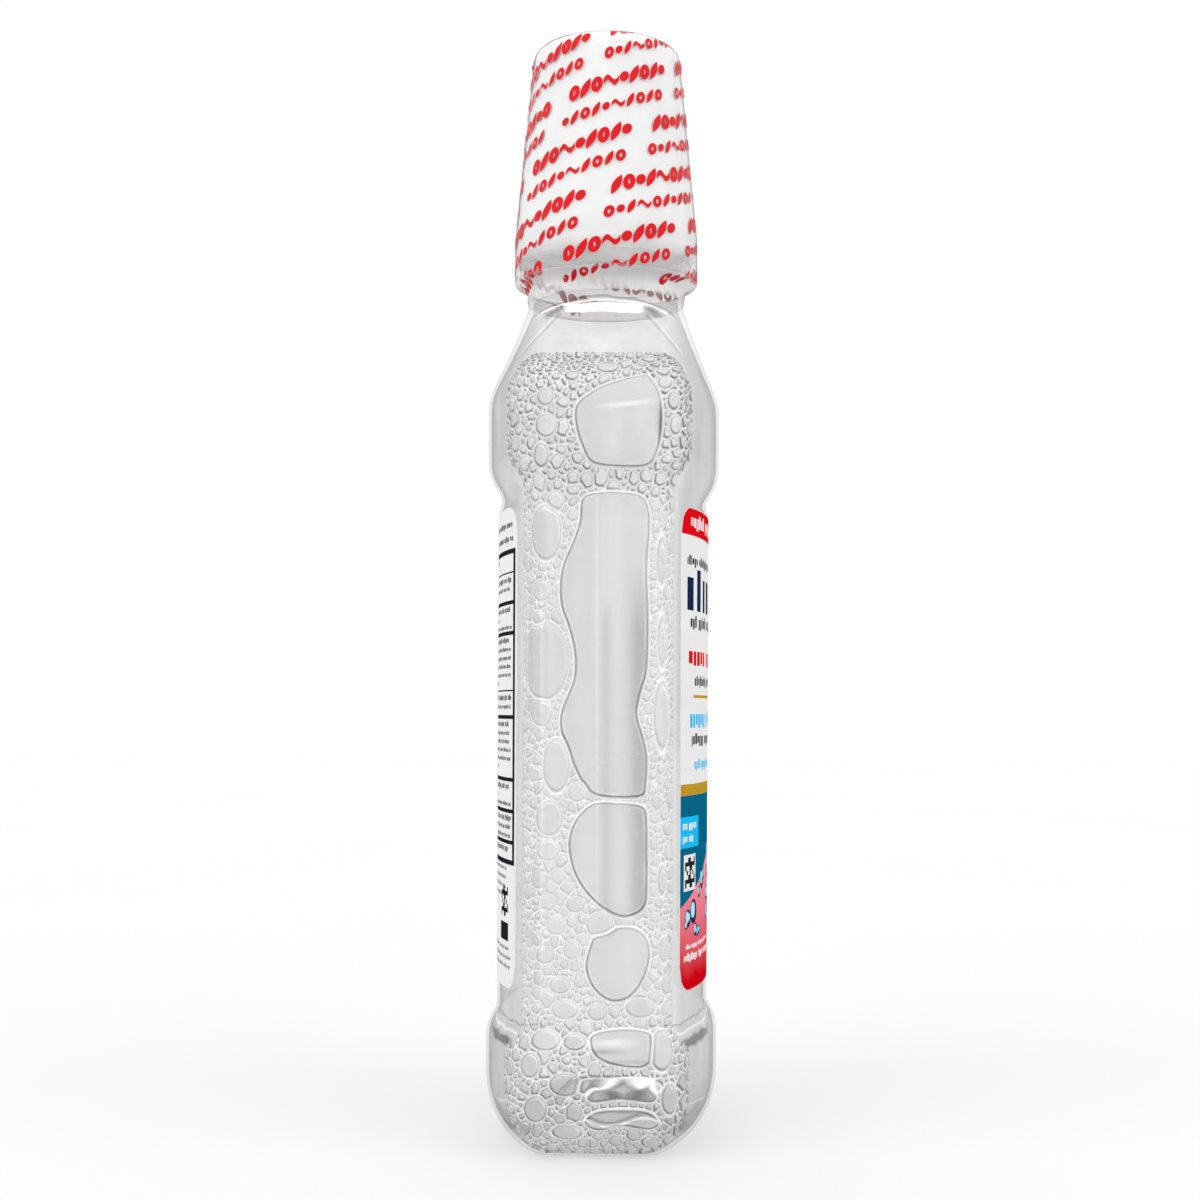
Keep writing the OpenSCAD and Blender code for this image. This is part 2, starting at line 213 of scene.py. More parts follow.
def quarter(a, b, f, r):
    """A quarter of a level's outline: flat narrow side, corner, bowed wide face."""
    xt = a - r / 2
    turn = math.atan((b - f) * FACE_BOW / a * (xt / a) ** (FACE_BOW - 1))
    x1 = a - r * (1 - math.sin(turn))
    y1 = float(bow(x1, a, b, f))
    cx, cy = x1 - r * math.sin(turn), y1 - r * math.cos(turn)
    flat = [*SEAM_Y, *(mix(SEAM_Y[-1], cy, (i + 1) / FLAT_N) for i in range(FLAT_N - 1))]
    points = [(a, y) for y in flat]
    for i in range(ARC_N):
        t = math.pi / 2 + (turn - math.pi / 2) * i / ARC_N
        points.append((cx + r * math.sin(t), cy + r * math.cos(t)))
    for i in range(BOW_N):
        x = x1 * (1 - i / BOW_N)
        points.append((x, float(bow(x, a, b, f))))
    return points


def outline(a, b, f, r):
    q = quarter(a, b, f, r)
    half = q + [(0.0, b)] + [(-x, y) for x, y in reversed(q)]
    return np.array(half + [(x, -y) for x, y in reversed(half[1:-1])])


def ring(v, inset, neck_radius):
    """Points at a level (z, half width, half depth, half face, share of the neck, corner)."""
    z, a, b, f, t, r = v
    a, b, f, r = a - inset, b - inset, f - inset, max(r - inset, 0.3)
    p = outline(a, b, f, r)
    ang = np.arctan2(p[:, 1] / b, p[:, 0] / a)
    x = p[:, 0] * (1 - t) + neck_radius * np.cos(ang) * t
    y = p[:, 1] * (1 - t) + neck_radius * np.sin(ang) * t
    return np.column_stack([x, y, np.full(len(x), z)])


def drawn(s):
    """How far the foot is drawn in at a share of the base's height."""
    return 1 - (1 - (1 - s) ** ROUND_POWER) ** (1 / ROUND_POWER)


def key(z, form, t=0.0, r=CORNER_R):
    return (z, *form, t, r)


# Levels of the push-up: shares of its height, of the foot's width, of its depth at the middle
# and at the narrow face, and of the corner
PUSH_LEVELS = ((1.1, 0.08, 0.08, 0.07, 0.1), (1, 0.5, 0.4, 0.3, 0.5), (0.8, 0.7, 0.55, 0.4, 0.6))
# A step between two forms as shares of height and of form
STEP_SHAPE = ((0, 0), (0.25, 0.1), (0.7, 0.82), (1, 1))


def base_keys(up):
    w, d, f = FOOT
    grow = up * 2
    keys = [key(PUSH_UP * s[0] + up, (w * s[1] + grow, d * s[2] + grow, d * s[3] + grow),
                r=CORNER_R * s[4] + up) for s in PUSH_LEVELS]
    keys.append(key(up, (w - FOOT_LAND + grow, d - FOOT_LAND + grow, f - FOOT_LAND / 2 + grow),
                    r=CORNER_R * 0.75 + up))
    for i in range(BASE_N + 1):
        s = i / BASE_N
        keys.append(key(mix(up, BAND_Z, s), mix_all(BAND, FOOT, drawn(s))))
    return keys


def step_keys(z0, z1, start, end, shape):
    return [key(mix(z0, z1, s), mix_all(start, end, g)) for s, g in shape]


def body_keys(up):
    keys = base_keys(up) + step_keys(STEP_Z, PANEL_Z, BAND, PANEL, STEP_SHAPE)
    keys.append(key(PANEL_TOP_Z, PANEL))
    keys += step_keys(SHOULDER_Z, WAIST_Z, BAND, WAIST, STEP_SHAPE[::-1])
    keys.append(key(SHOULDER_TOP_Z, BAND))
    keys.append(key(mix(SHOULDER_TOP_Z, SLOPE_Z, 0.5), mix_all(BAND, DRAWN, 0.3)))
    keys += [key(mix(SLOPE_Z, NECK_Z, t), DRAWN, t) for t in (0, 0.25, 0.5, 0.75, 1)]
    return keys


def refined(keys, step=0.4, blur=0.5, far=5.0, per_bend=22.0):
    """Levels through the keys, bends rounded, close together only where the form bends."""
    k = np.array(keys, float)
    travel = np.linalg.norm(np.diff(k[:, :3], axis=0), axis=1)
    s = np.concatenate([[0], np.cumsum(travel)])
    fine = np.linspace(0, s[-1], int(s[-1] / step) + 1)
    g = np.column_stack([np.interp(fine, s, k[:, c]) for c in range(k.shape[1])])
    reach = int(3 * blur / step)
    weight = np.exp(-0.5 * (np.arange(-reach, reach + 1) * step / blur) ** 2)
    weight /= weight.sum()
    out = np.empty_like(g)
    for c in range(g.shape[1]):
        low = 2 * g[0, c] - g[reach:0:-1, c]
        high = 2 * g[-1, c] - g[-2:-reach - 2:-1, c]
        out[:, c] = np.convolve(np.concatenate([low, g[:, c], high]), weight, "valid")
    bend = np.zeros(len(out))
    bend[1:-1] = np.linalg.norm(out[:-2, :4] - 2 * out[1:-1, :4] + out[2:, :4], axis=1)
    need = np.concatenate([[0], np.cumsum(bend[:-1] * per_bend + step / far)])
    at = np.interp(np.linspace(0, need[-1], int(need[-1]) + 2), need, fine)
    return np.column_stack([np.interp(at, fine, out[:, c]) for c in range(out.shape[1])])


OUTER = refined(body_keys(0))
INNER = refined(body_keys(WALL))


def level_at(z):
    """Level of the outside at height z above the foot."""
    first = int(np.argmin(OUTER[:, 0] + (np.arange(len(OUTER)) > len(OUTER) / 2) * 99))
    rows = OUTER[first:]
    return [float(np.interp(z, rows[:, 0], rows[:, c])) for c in range(6)]


# Node helpers


def new_material(name):
    mat = bpy.data.materials.new(name)
    mat.use_nodes = True
    mat.node_tree.nodes.clear()
    out = mat.node_tree.nodes.new("ShaderNodeOutputMaterial")
    return mat, mat.node_tree, out


def node(nt, kind, inputs=None, **props):
    n = nt.nodes.new("ShaderNode" + kind)
    for k, v in props.items():
        setattr(n, k, v)
    for k, v in (inputs or {}).items():
        if isinstance(v, bpy.types.NodeSocket):
            nt.links.new(v, n.inputs[k])
        else:
            n.inputs[k].default_value = v
    return n


def shader(nt, kind, **inputs):
    """A node's first output; an underscore in an input's name stands for a space."""
    return node(nt, kind, {k.replace("_", " "): v for k, v in inputs.items()}).outputs[0]


def math_node(nt, operation, a, b=0.0):
    return node(nt, "Math", {0: a, 1: b}, operation=operation).outputs[0]


def plus(nt, a, b):
    return math_node(nt, "ADD", a, b)


def minus(nt, a, b):
    return math_node(nt, "SUBTRACT", a, b)


def times(nt, a, b):
    return math_node(nt, "MULTIPLY", a, b)


def map_range(nt, value, low, high, start=0.0, end=1.0):
    return node(nt, "MapRange", {"Value": value, "From Min": low, "From Max": high,
                                 "To Min": start, "To Max": end}).outputs[0]


def noise(nt, place, scale, detail=3.0):
    return node(nt, "TexNoise", {"Vector": place, "Scale": scale, "Detail": detail}).outputs["Fac"]


def layered(nt, share, under, over):
    return node(nt, "MixShader", {0: share, 1: under, 2: over}).outputs[0]


def dimmed(nt, colour, light):
    return node(nt, "VectorMath", {0: colour, 1: light}, operation="MULTIPLY").outputs[0]


def blend_colour(nt, factor, a, b):
    n = node(nt, "Mix", data_type="RGBA")
    for socket, value in ((n.inputs[0], factor), (n.inputs[6], a), (n.inputs[7], b)):
        if isinstance(value, bpy.types.NodeSocket):
            nt.links.new(value, socket)
        else:
            socket.default_value = value
    return n.outputs[2]


def coordinates(nt):
    return node(nt, "TexCoord").outputs["Object"]


def object_place(nt, scale=(1, 1, 1)):
    return node(nt, "Mapping", {"Vector": coordinates(nt), "Scale": scale}).outputs[0]


def any_ray(nt, first, *others):
    """1 for rays of the kinds named."""
    path = node(nt, "LightPath").outputs
    share = path[first]
    for kind in others:
        share = math_node(nt, "MAXIMUM", share, path[kind])
    return share


def grey(v):
    return (v, v, v, 1.0)


def rgb(r, g, b):
    """A colour given in screen values of 0 to 255."""
    def linear(c):
        c /= 255
        return c / 12.92 if c <= 0.04045 else ((c + 0.055) / 1.055) ** 2.4
    return (linear(r), linear(g), linear(b), 1.0)


# Reads the foam's painted highlight share (white) and painted shade share (dark)
def painted_light_attributes(nt):
    return [node(nt, "Attribute", attribute_name=name).outputs["Fac"] for name in ("white", "dark")]


def soft_band(nt, value, low, high, soft):
    """1 from low to high, falling to 0 over the softness on both sides."""
    half = (high - low) / 2
    off = math_node(nt, "ABSOLUTE", minus(nt, value, (low + high) / 2))
    return map_range(nt, off, half, half + soft, 1.0, 0.0)


# Painted highlights and shade for what the liquid would bend into view: kind, strength, and in mm
# height from and to, softness, sag over the width, distance from the middle from and to
PAINTED_LIQUID_BANDS = (
    ("white", 0.8, 170.4, 172.6, 0.5, 0.0, 0.0, 7.6),
    ("white", 0.7, 173.5, 173.9, 0.35, 0.012, 0.0, 13.0),
    ("dark", 0.38, 174.5, 174.7, 0.25, 0.012, 0.0, 14.5),
    ("dark", 0.34, 173.0, 173.1, 0.2, 0.02, 0.0, 12.5),
    ("dark", 0.3, 169.7, 171.6, 0.8, 0.0, 9.6, 11.0),
    ("dark", 0.6, 22.3, 22.9, 0.6, 0.0, 17.5, 21.5),
    ("white", 0.4, 24.2, 24.4, 0.4, 0.0, 14.0, 24.0),
    ("dark", 0.3, 26.1, 26.2, 0.35, 0.0, 10.0, 26.0),
    ("dark", 0.2, 11.0, 12.4, 1.2, 0.02, 17.0, 24.0),
    ("dark", 0.2, 3.0, 5.5, 1.2, -0.01, 13.0, 20.0),
    ("white", 0.3, 14.2, 14.3, 0.4, 0.01, 17.0, 24.0),
)
# Softness at the ends of the painted bands across the width
PAINTED_BAND_END = 1.2
# Painted light and dark lines along edges that run down the shoulder from the neck's ends: kind,
# strength and place, then slope
PAINTED_SLANTS, SLANT_FALL = (("dark", 0.22, 131.0), ("white", 0.4, 131.9)), 0.72
# How much painted shade the liquid takes below the shoulder and towards the narrow sides
LIQUID_PAINTED_SHADE = (0.065, 0.115)


def liquid_painted_light(nt):
    """Painted highlight and shade on the liquid: lighter in the shoulder, lines at its bends."""
    in_mm = {0: coordinates(nt), "Scale": 1 / MM}
    place = node(nt, "VectorMath", in_mm, operation="SCALE").outputs[0]
    parts = node(nt, "SeparateXYZ", {0: place}).outputs
    stir = times(nt, minus(nt, noise(nt, place, 0.22, 2.0), 0.5), 1.6)
    height, aside = plus(nt, parts[2], stir), math_node(nt, "ABSOLUTE", parts[1])
    square = times(nt, aside, aside)
    # Painted shade: darker below the shoulder and towards the narrow sides
    tone = math_node(nt, "MAXIMUM", map_range(nt, height, 148.0, 158.0, LIQUID_PAINTED_SHADE[0], 0.0),
                     map_range(nt, aside, 12.5, 17.0, 0.0, LIQUID_PAINTED_SHADE[1]))
    sums = {"white": 0.0, "dark": tone}
    for kind, strength, low, high, soft, sag, start, end in PAINTED_LIQUID_BANDS:
        band = soft_band(nt, plus(nt, height, times(nt, square, sag)), low, high, soft)
        band = times(nt, band, soft_band(nt, aside, start or -end, end, PAINTED_BAND_END))
        sums[kind] = plus(nt, times(nt, band, strength), sums[kind])
    slant = plus(nt, aside, times(nt, height, SLANT_FALL))
    for kind, strength, at in PAINTED_SLANTS:
        band = times(nt, soft_band(nt, slant, at, at + 0.1, 0.45),
                     soft_band(nt, height, 161, 169, 1.5))
        sums[kind] = plus(nt, times(nt, band, strength), sums[kind])
    # The painted lines show only on the side that faces out; the painted shade shows on both
    near = minus(nt, 1.0, node(nt, "NewGeometry").outputs["Backfacing"])
    dark = times(nt, minus(nt, sums["dark"], tone), near)
    return times(nt, sums["white"], near), plus(nt, dark, tone)


def clear_material(name, edge_shaded_tint, mirror=0.04, edge_mirror=0.15, rough=0.03, bump=0.0,
                   bump_scale=400.0, stretch=(1, 1, 1), streaks=0.0, lines=None, haze=0.0):
    """A see-through skin with a clear gloss. tint is a list of (how far it turns away, light let
    through), whose fall at the edges is painted shade. streaks are tall soft bands, lines gives
    shares of painted highlight and painted shade, haze a milky share."""
    mat, nt, out = new_material(name)
    waves = noise(nt, object_place(nt, stretch), bump_scale, 2.0)
    turned = {}
    if bump:
        turned["Normal"] = shader(nt, "Bump", Height=waves, Strength=bump, Distance=0.0003)
    facing = node(nt, "LayerWeight", {"Blend": 0.5, **turned}).outputs["Facing"]
    # Less light gets through where the skin turns away: painted shade at the edges
    ramp = node(nt, "ValToRGB", {0: facing})
    stops = ramp.color_ramp.elements
    while len(stops) < len(edge_shaded_tint):
        stops.new(0.5)
    for stop, (place_on, light) in zip(stops, edge_shaded_tint):
        stop.position = place_on
        stop.color = grey(light)
    colour = ramp.outputs[0]
    if streaks:
        tall = noise(nt, object_place(nt, (1, 1, 0.05)), 170.0, 2.0)
        colour = dimmed(nt, colour, map_range(nt, tall, 0.35, 0.65, 1 - streaks, 1.0))
    if lines:
        # lines gives a painted highlight share and a painted shade share
        white, dark = lines(nt)
        colour = dimmed(nt, colour, minus(nt, 1.0, dark))
    surface = shader(nt, "BsdfTransparent", Color=colour)
    if haze:
        milk = layered(nt, 0.5, shader(nt, "BsdfDiffuse", Color=grey(0.95)),
                       shader(nt, "BsdfTranslucent", Color=grey(0.95)))
        surface = layered(nt, haze, surface, milk)
    spread = map_range(nt, waves, 0.0, 1.0, rough, rough * 1.8)
    gloss = shader(nt, "BsdfGlossy", Color=grey(1), Roughness=spread, **turned)
    rise = times(nt, math_node(nt, "POWER", facing, 5.0), edge_mirror)
    surface = layered(nt, plus(nt, rise, mirror), surface, gloss)
    if lines:
        # A white layer laid on by the painted highlight share
        painted_highlight = shader(nt, "BsdfPrincipled", Base_Color=grey(0.97), Roughness=0.3)
        surface = layered(nt, white, surface, painted_highlight)
    nt.links.new(surface, out.inputs[0])
    return mat


def plastic_material(name, colour, rough, vary=0.04, scale=300.0, bump=0.05, shine=0.5):
    """Moulded or printed plastic: its colour and roughness drift a little, over a fine grain."""
    mat, nt, out = new_material(name)
    grain = noise(nt, object_place(nt), scale)
    drift = plus(nt, map_range(nt, grain, 0.0, 1.0, -vary, vary), 0.5)
    low, high = (tuple(min(c * (1 + v), 1) for c in colour[:3]) + (1,) for v in (-vary, vary))
    body = shader(nt, "BsdfPrincipled", Base_Color=blend_colour(nt, drift, low, high),
                  Roughness=map_range(nt, grain, 0.0, 1.0, rough * 0.9, rough * 1.15),
                  Normal=shader(nt, "Bump", Height=grain, Strength=bump, Distance=0.0001),
                  Specular_IOR_Level=shine)
    nt.links.new(body, out.inputs[0])
    return mat


# Bottle


def thread_strip(points, faces, r_root, r_crest, z0, turns, start):
    """Adds a helical thread's skin, faded at both ends."""
    outward = r_crest > r_root
    root = r_root - (THREAD_SINK if outward else -THREAD_SINK)
    steps = int(turns * 120)
    first = len(points)
    for i in range(steps + 1):
        ang = 2 * math.pi * turns * i / steps
        z = z0 + PITCH * ang / (2 * math.pi)
        deg = math.degrees(ang)
        fade = min(1, deg / THREAD_FADE, (360 * turns - deg) / THREAD_FADE)
        tip = mix(root, r_crest, max(fade, 0))
        flank = mix(r_root, tip, 0.75)
        turn = ang + math.radians(start)
        for r, h in ((root, -0.95), (flank, -0.6), (tip, -0.4), (tip, 0.4), (flank, 0.6),
                     (root, 0.95)):
            points.append((r * math.cos(turn), r * math.sin(turn), z + h))
    faces += [f[::-1] if outward else f for f in tube_faces(steps + 1, 6, first, closed=False)]


def make_bottle(outside_material, inside_material):
    """The blown bottle with its wall, its neck and thread, as one closed skin."""
    rows = [ring(v, 0, NECK_R + NECK_STEP) for v in OUTER]
    for row in rows:
        side = np.sign(row[:, 0]) * (np.abs(row[:, 0]) > SEAM_FROM_X)
        row[:, 0] += SEAM_H * side * np.exp(-(row[:, 1] / SEAM_W) ** 2)
    ang = np.arctan2(rows[-1][:, 1], rows[-1][:, 0])
    neck = ((NECK_R + 0.05, NECK_Z + 0.08), (NECK_R, NECK_Z + 0.3), (NECK_R, FINISH_Z - FLARE_H),
            (FINISH_R, FINISH_Z), (FINISH_R, LIP_Z - 0.8), (FINISH_R - 0.05, LIP_Z - 0.35),
            (FINISH_R - 0.2, LIP_Z - 0.1), (FINISH_R - 0.45, LIP_Z), (BORE_R + 0.3, LIP_Z),
            (BORE_R + 0.08, LIP_Z - 0.1), (BORE_R, LIP_Z - 0.4), (BORE_R, NECK_Z + 0.3))
    rows += [circle(ang, r, z) for r, z in neck]
    rows += [ring(v, WALL, BORE_R + NECK_STEP) for v in INNER[::-1]]
    points, faces = closed_skin(rows)
    # From the lip inwards the skin is wet
    inner = (len(OUTER) + 8) * len(ang)
    sides = [1 if min(f) >= inner else 0 for f in faces]
    thread_strip(points, faces, FINISH_R, THREAD_R, NECK_THREAD_Z, NECK_TURNS, 0)
    sides += [0] * (len(faces) - len(sides))
    piece = mesh_piece("bottle_shell", points, faces, [outside_material, inside_material], sides)
    return finish_piece(piece, "bottle", "bottle", "bottle")


def make_liquid(material):
    """The liquid inside the wall, flat where it meets the foam."""
    gap, r = WALL + WET_GAP, BORE_R - WET_GAP
    rows = [ring(v, gap, r) for v in refined(body_keys(gap))]
    ang = np.arctan2(rows[-1][:, 1], rows[-1][:, 0])
    # The level stands a little higher where it touches the wall
    for share, rise in ((1.0, -0.05), (0.985, -0.35), (0.93, -0.7), (0.7, -0.8), (0.35, -0.8)):
        rows.append(circle(ang, r * share, FILL_Z + rise))
    for row in rows:
        row[:, 0] = np.maximum(row[:, 0], -LIQUID_X + WET_GAP)
    piece = mesh_piece("liquid", *closed_skin(rows), [material])
    return finish_piece(piece, "bottle", "liquid", "mouthwash")


# Foam

# Smooth air windows, each an outline of (x, y) in the image's frame
WINDOWS = (
    ((644, 374), (613, 381), (591, 391), (576, 405), (575, 424), (581, 444), (591, 462),
     (613, 467), (647, 466), (658, 452), (662, 430), (663, 410), (659, 391), (652, 379)),
    ((582, 498), (579, 520), (573, 539), (563, 563), (559, 585), (561, 607), (568, 628),
     (574, 653), (573, 678), (565, 699), (560, 715), (561, 734), (570, 758), (582, 783),
     (595, 795), (619, 798), (643, 796), (647, 783), (648, 758), (644, 737), (639, 721),
     (638, 709), (642, 690), (648, 668), (649, 619), (648, 570), (650, 530), (649, 508),
     (641, 495), (619, 491), (596, 492)),
    ((581, 812), (571, 827), (568, 847), (573, 871), (584, 891), (601, 908), (621, 917),
     (638, 914), (647, 903), (648, 881), (648, 850), (648, 823), (643, 806), (615, 802),
     (594, 803)),
    ((591, 941), (599, 932), (628, 927), (644, 934), (650, 948), (648, 968), (639, 988),
     (625, 1000), (608, 1001), (592, 988), (585, 966)),
    ((593, 1034), (621, 1029), (647, 1031), (655, 1040), (653, 1058), (642, 1068), (615, 1066),
     (597, 1058), (590, 1046)),
    ((592, 1084), (615, 1079), (650, 1080), (657, 1092), (652, 1103), (620, 1100), (592, 1103),
     (586, 1093)),
    ((584, 1122), (596, 1112), (625, 1109), (650, 1113), (660, 1123), (650, 1130), (622, 1127),
     (597, 1131)),
)
# Larger bubbles as (x, y, half width, half height)
BUBBLES = (
    (546, 532, 15, 27), (541, 590, 9, 10), (544, 660, 24, 38), (538, 618, 6, 7),
    (541, 712, 11, 13), (556, 765, 13, 26), (577, 792, 9, 9), (549, 818, 13, 17),
    (548, 850, 11, 10), (538, 880, 8, 8), (600, 925, 13, 12), (663, 715, 9, 33),
    (662, 560, 5, 22), (663, 640, 5, 24), (663, 880, 5, 14), (608, 366, 11, 10), (572, 374, 7, 6),
    (545, 396, 8, 8), (546, 425, 10, 11), (541, 455, 7, 12), (555, 500, 8, 9), (665, 382, 7, 6),
    (674, 400, 6, 9), (676, 425, 6, 9), (640, 1008, 14, 9), (565, 1010, 13, 9), (597, 1012, 9, 8),
    (662, 1050, 11, 20), (545, 1040, 14, 10), (575, 1042, 11, 8), (530, 1065, 9, 12),
    (565, 1085, 15, 11), (535, 1110, 11, 13), (567, 1133, 15, 8), (650, 1143, 9, 7),
    (670, 1100, 8, 15), (600, 1088, 24, 8), (640, 1088, 18, 8), (560, 985, 10, 8),
    (575, 905, 9, 7), (556, 925, 9, 9), (545, 955, 9, 8), (572, 950, 8, 9), (665, 950, 6, 12),
    (668, 985, 7, 9),
)
# Radius and tries of the small bubbles that fill the rest
FILLERS = ((1.35, 500), (1.0, 1600), (0.75, 4000), (0.55, 9000), (0.42, 14000))
FOAM_COLUMNS, FOAM_ROW, FOAM_FOOT = 290, 0.15, 0.3
FOAM_TOP, FOAM_CORNER = 159.6, 3.2
# Above SKIN_Z a skin this deep follows the wall; below FLAT_BACK_Z the relief stops short of the
# liquid's flat side
SKIN_Z, SKIN_REACH, FLAT_BACK_Z = 150, 2.4, 156
MM_PX = 0.2
# How far a placed bubble reaches past its outline
HAND_MARGIN = 0.2
FAR = 1e3


def travelled(line):
    """Length along a line up to each of its points."""
    return np.concatenate([[0], np.cumsum(np.linalg.norm(np.diff(line, axis=0), axis=1))])


def foam_grid():
    """Places on the inside of the wall over the narrow face at -X, as rows up the bottle."""
    rows, arcs = [], []
    for z in np.arange(FOAM_FOOT, FOAM_TOP, FOAM_ROW):
        v = level_at(z)
        p = ring(v, WALL + WET_GAP, BORE_R - WET_GAP)
        left = p[(p[:, 0] < 0) & (np.abs(p[:, 1]) < v[3] + 9)]
        left = left[np.argsort(-left[:, 1])]
        nearest = left[:, 0].min()
        edge = max(-LIQUID_X, nearest + SKIN_REACH) if z > SKIN_Z else -LIQUID_X
        if nearest > edge - 0.02:
            continue
        keep = np.nonzero(left[:, 0] < edge)[0]

        def cross(i, j):
            t = (edge - left[i, 0]) / (left[j, 0] - left[i, 0])
            return left[i] + (left[j] - left[i]) * t

        line = np.vstack([cross(keep[0] - 1, keep[0]), left[keep[0]:keep[-1] + 1],
                          cross(keep[-1] + 1, keep[-1])])
        # The upper corners of the foam are round
        over = z - (FOAM_TOP - FOAM_CORNER)
        if over > 0:
            corner = math.sqrt(max(FOAM_CORNER ** 2 - over ** 2, 0.01))
            limit = np.abs(line[:, 1]).max() - FOAM_CORNER + corner
            line[:, 1] = np.clip(line[:, 1], -limit, limit)
        s = travelled(line)
        at = np.linspace(0, s[-1], FOAM_COLUMNS)
        rows.append(np.column_stack([np.interp(at, s, line[:, c]) for c in range(3)]))
        arcs.append(at - s[-1] / 2)
    return np.array(rows), np.array(arcs)


def closed_curve(points, steps=6):
    """A smooth closed line through the points."""
    p = np.array(points, float)
    a, c, d = np.roll(p, 1, 0), np.roll(p, -1, 0), np.roll(p, -2, 0)
    out = [0.5 * (2 * p + (c - a) * t + (2 * a - 5 * p + 4 * c - d) * t ** 2
                  + (3 * p - a - 3 * c + d) * t ** 3) for t in np.arange(steps) / steps]
    return np.stack(out, axis=1).reshape(-1, 2)


def away_from(line, x, y):
    """Distance of each place from a closed line, negative inside it."""
    near, inside = np.full(x.shape, FAR), np.zeros(x.shape, bool)
    for (x0, y0), (x1, y1) in zip(line, np.roll(line, -1, 0)):
        dx, dy = x1 - x0, y1 - y0
        t = np.clip(((x - x0) * dx + (y - y0) * dy) / (dx * dx + dy * dy + 1e-12), 0, 1)
        near = np.minimum(near, np.hypot(x - x0 - t * dx, y - y0 - t * dy))
        slope = dx / (dy if abs(dy) > 1e-9 else 1e-9)
        inside ^= ((y0 > y) != (y1 > y)) & (x < x0 + (y - y0) * slope)
    return np.where(inside, -near, near)


def small_bubbles(placed, clear, arcs, rise):
    """Fills the room between the placed bubbles, with the finest at the upper left."""
    rng = random.Random(7)
    placed = np.array(placed)
    half = np.abs(arcs).max(axis=1)
    for radius, tries in FILLERS:
        for _ in range(tries):
            at = rng.uniform(0, rise[-1])
            wide = float(np.interp(at, rise, half))
            across = rng.uniform(-wide, wide)
            r = radius * rng.uniform(0.85, 1.15)
            tall = r * rng.uniform(0.9, 1.3)
            if at > rise[-1] - 13 and across < 1 and radius > 0.8:
                continue
            i = min(np.searchsorted(rise, at), len(rise) - 1)
            j = int((across / wide + 1) / 2 * (FOAM_COLUMNS - 1))
            a, b = placed[:, 2], placed[:, 3]
            stretch = np.hypot((placed[:, 0] - across) / a, (placed[:, 1] - at) / b)
            gap = (stretch - 1) * np.minimum(a, b)
            if min(gap.min(), clear[i, j]) > r * 0.8:
                placed = np.vstack([placed, (across, at, r, tall)])
    return placed


def foam_fields(rows, arcs, rise):
    """Distance from each window and bubble over the grid, as (rows it covers, distance)."""
    px, py = to_image(rows)
    up = np.broadcast_to(rise[:, None], arcs.shape)

    def locate(x, y):
        i, j = np.unravel_index(np.argmin((px - x) ** 2 + (py - y) ** 2), px.shape)
        return arcs[i, j], rise[i]

    def reach(low, high):
        return slice(np.searchsorted(rise, low - 6), np.searchsorted(rise, high + 6))

    fields, clear = [], np.full(arcs.shape, FAR)
    for window in WINDOWS:
        line = closed_curve([locate(x, y) for x, y in window])
        part = reach(line[:, 1].min(), line[:, 1].max())
        fields.append((part, away_from(line, arcs[part], up[part])))
        clear[part] = np.minimum(clear[part], fields[-1][1])
    seeds = [(*locate(x, y), rx * MM_PX, ry * MM_PX) for x, y, rx, ry in BUBBLES]
    for across, at, a, b in small_bubbles(seeds, clear, arcs, rise):
        part = reach(at - b, at + b)
        stretch = np.hypot((arcs[part] - across) / a, (up[part] - at) / b)
        fields.append((part, (stretch - 1) * min(a, b)))
    return fields


def foam_cells(rows, arcs, rise):
    """Over the grid: depth inside the own bubble's border, whether it is a window, its number."""
    first, second, placed, other = (np.full(arcs.shape, FAR) for _ in range(4))
    owner, placed_owner = np.full(arcs.shape, -1), np.full(arcs.shape, -1)
    by_hand = len(WINDOWS) + len(BUBBLES)
    for number, (part, d) in enumerate(foam_fields(rows, arcs, rise)):
        grids = (placed, other, placed_owner) if number < by_hand else (first, second, owner)
        f, n, o = (grid[part] for grid in grids)
        better = d < f
        n[...] = np.where(better, f, np.minimum(n, d))
        o[...] = np.where(better, number, o)
        f[...] = np.where(better, d, f)
    inside = placed < HAND_MARGIN
    border = np.where(inside, np.minimum(2 * (HAND_MARGIN - placed), other - placed),
                      np.minimum(second - first, 2 * (placed - HAND_MARGIN)))
    owner = np.where(inside, placed_owner, owner)
    return np.maximum(border, 0), inside & (owner < len(WINDOWS)), owner


def bell(x, centre, width):
    return np.exp(-((x - centre) / width) ** 2)


def facing_out(grid):
    n = np.cross(np.gradient(grid, axis=1), np.gradient(grid, axis=0))
    n /= np.maximum(np.linalg.norm(n, axis=2, keepdims=True), 1e-9)
    return n * np.where(n[..., :1] > 0, -1, 1)


# Strength of the painted shade along the small bubbles' dark lines by height
LINE_HEIGHTS, PAINTED_SHADE_STRENGTHS = (0, 22, 30, 127, 133, 160), (1.15, 1.15, 0.4, 0.42, 1.45, 1.35)


# Places in the picture, in pixels across and down, of the painted light and shade bent into view:
# upright bands and a seam in the long windows, a crescent and a shine in the top one, a line down
# the left
BAND_X, BAND_Y, DEEP_BAND_X, DEEP_BAND_Y, BRIGHT_SEAM_X = 606, 595, 640, 560, 597
CRESCENT_X, CRESCENT_Y, SHINE_X, SHINE_Y, SHINE_END_X, LEFT_LINE_X = 660.5, 424, 628, 402, 640, 542
# The same in two low windows: painted dark lines and a painted light in the upper, a painted swung
# line in the lower
LOW_LINE_Y, LOW_LINE_END_X, LOW_FOOT_Y, LOW_LIGHT_X, LOW_LIGHT_Y = 1052, 636, 1063, 612, 1043
SWING_X, SWING_Y, SWING_TOP_Y = 592, 1119, 1112.5


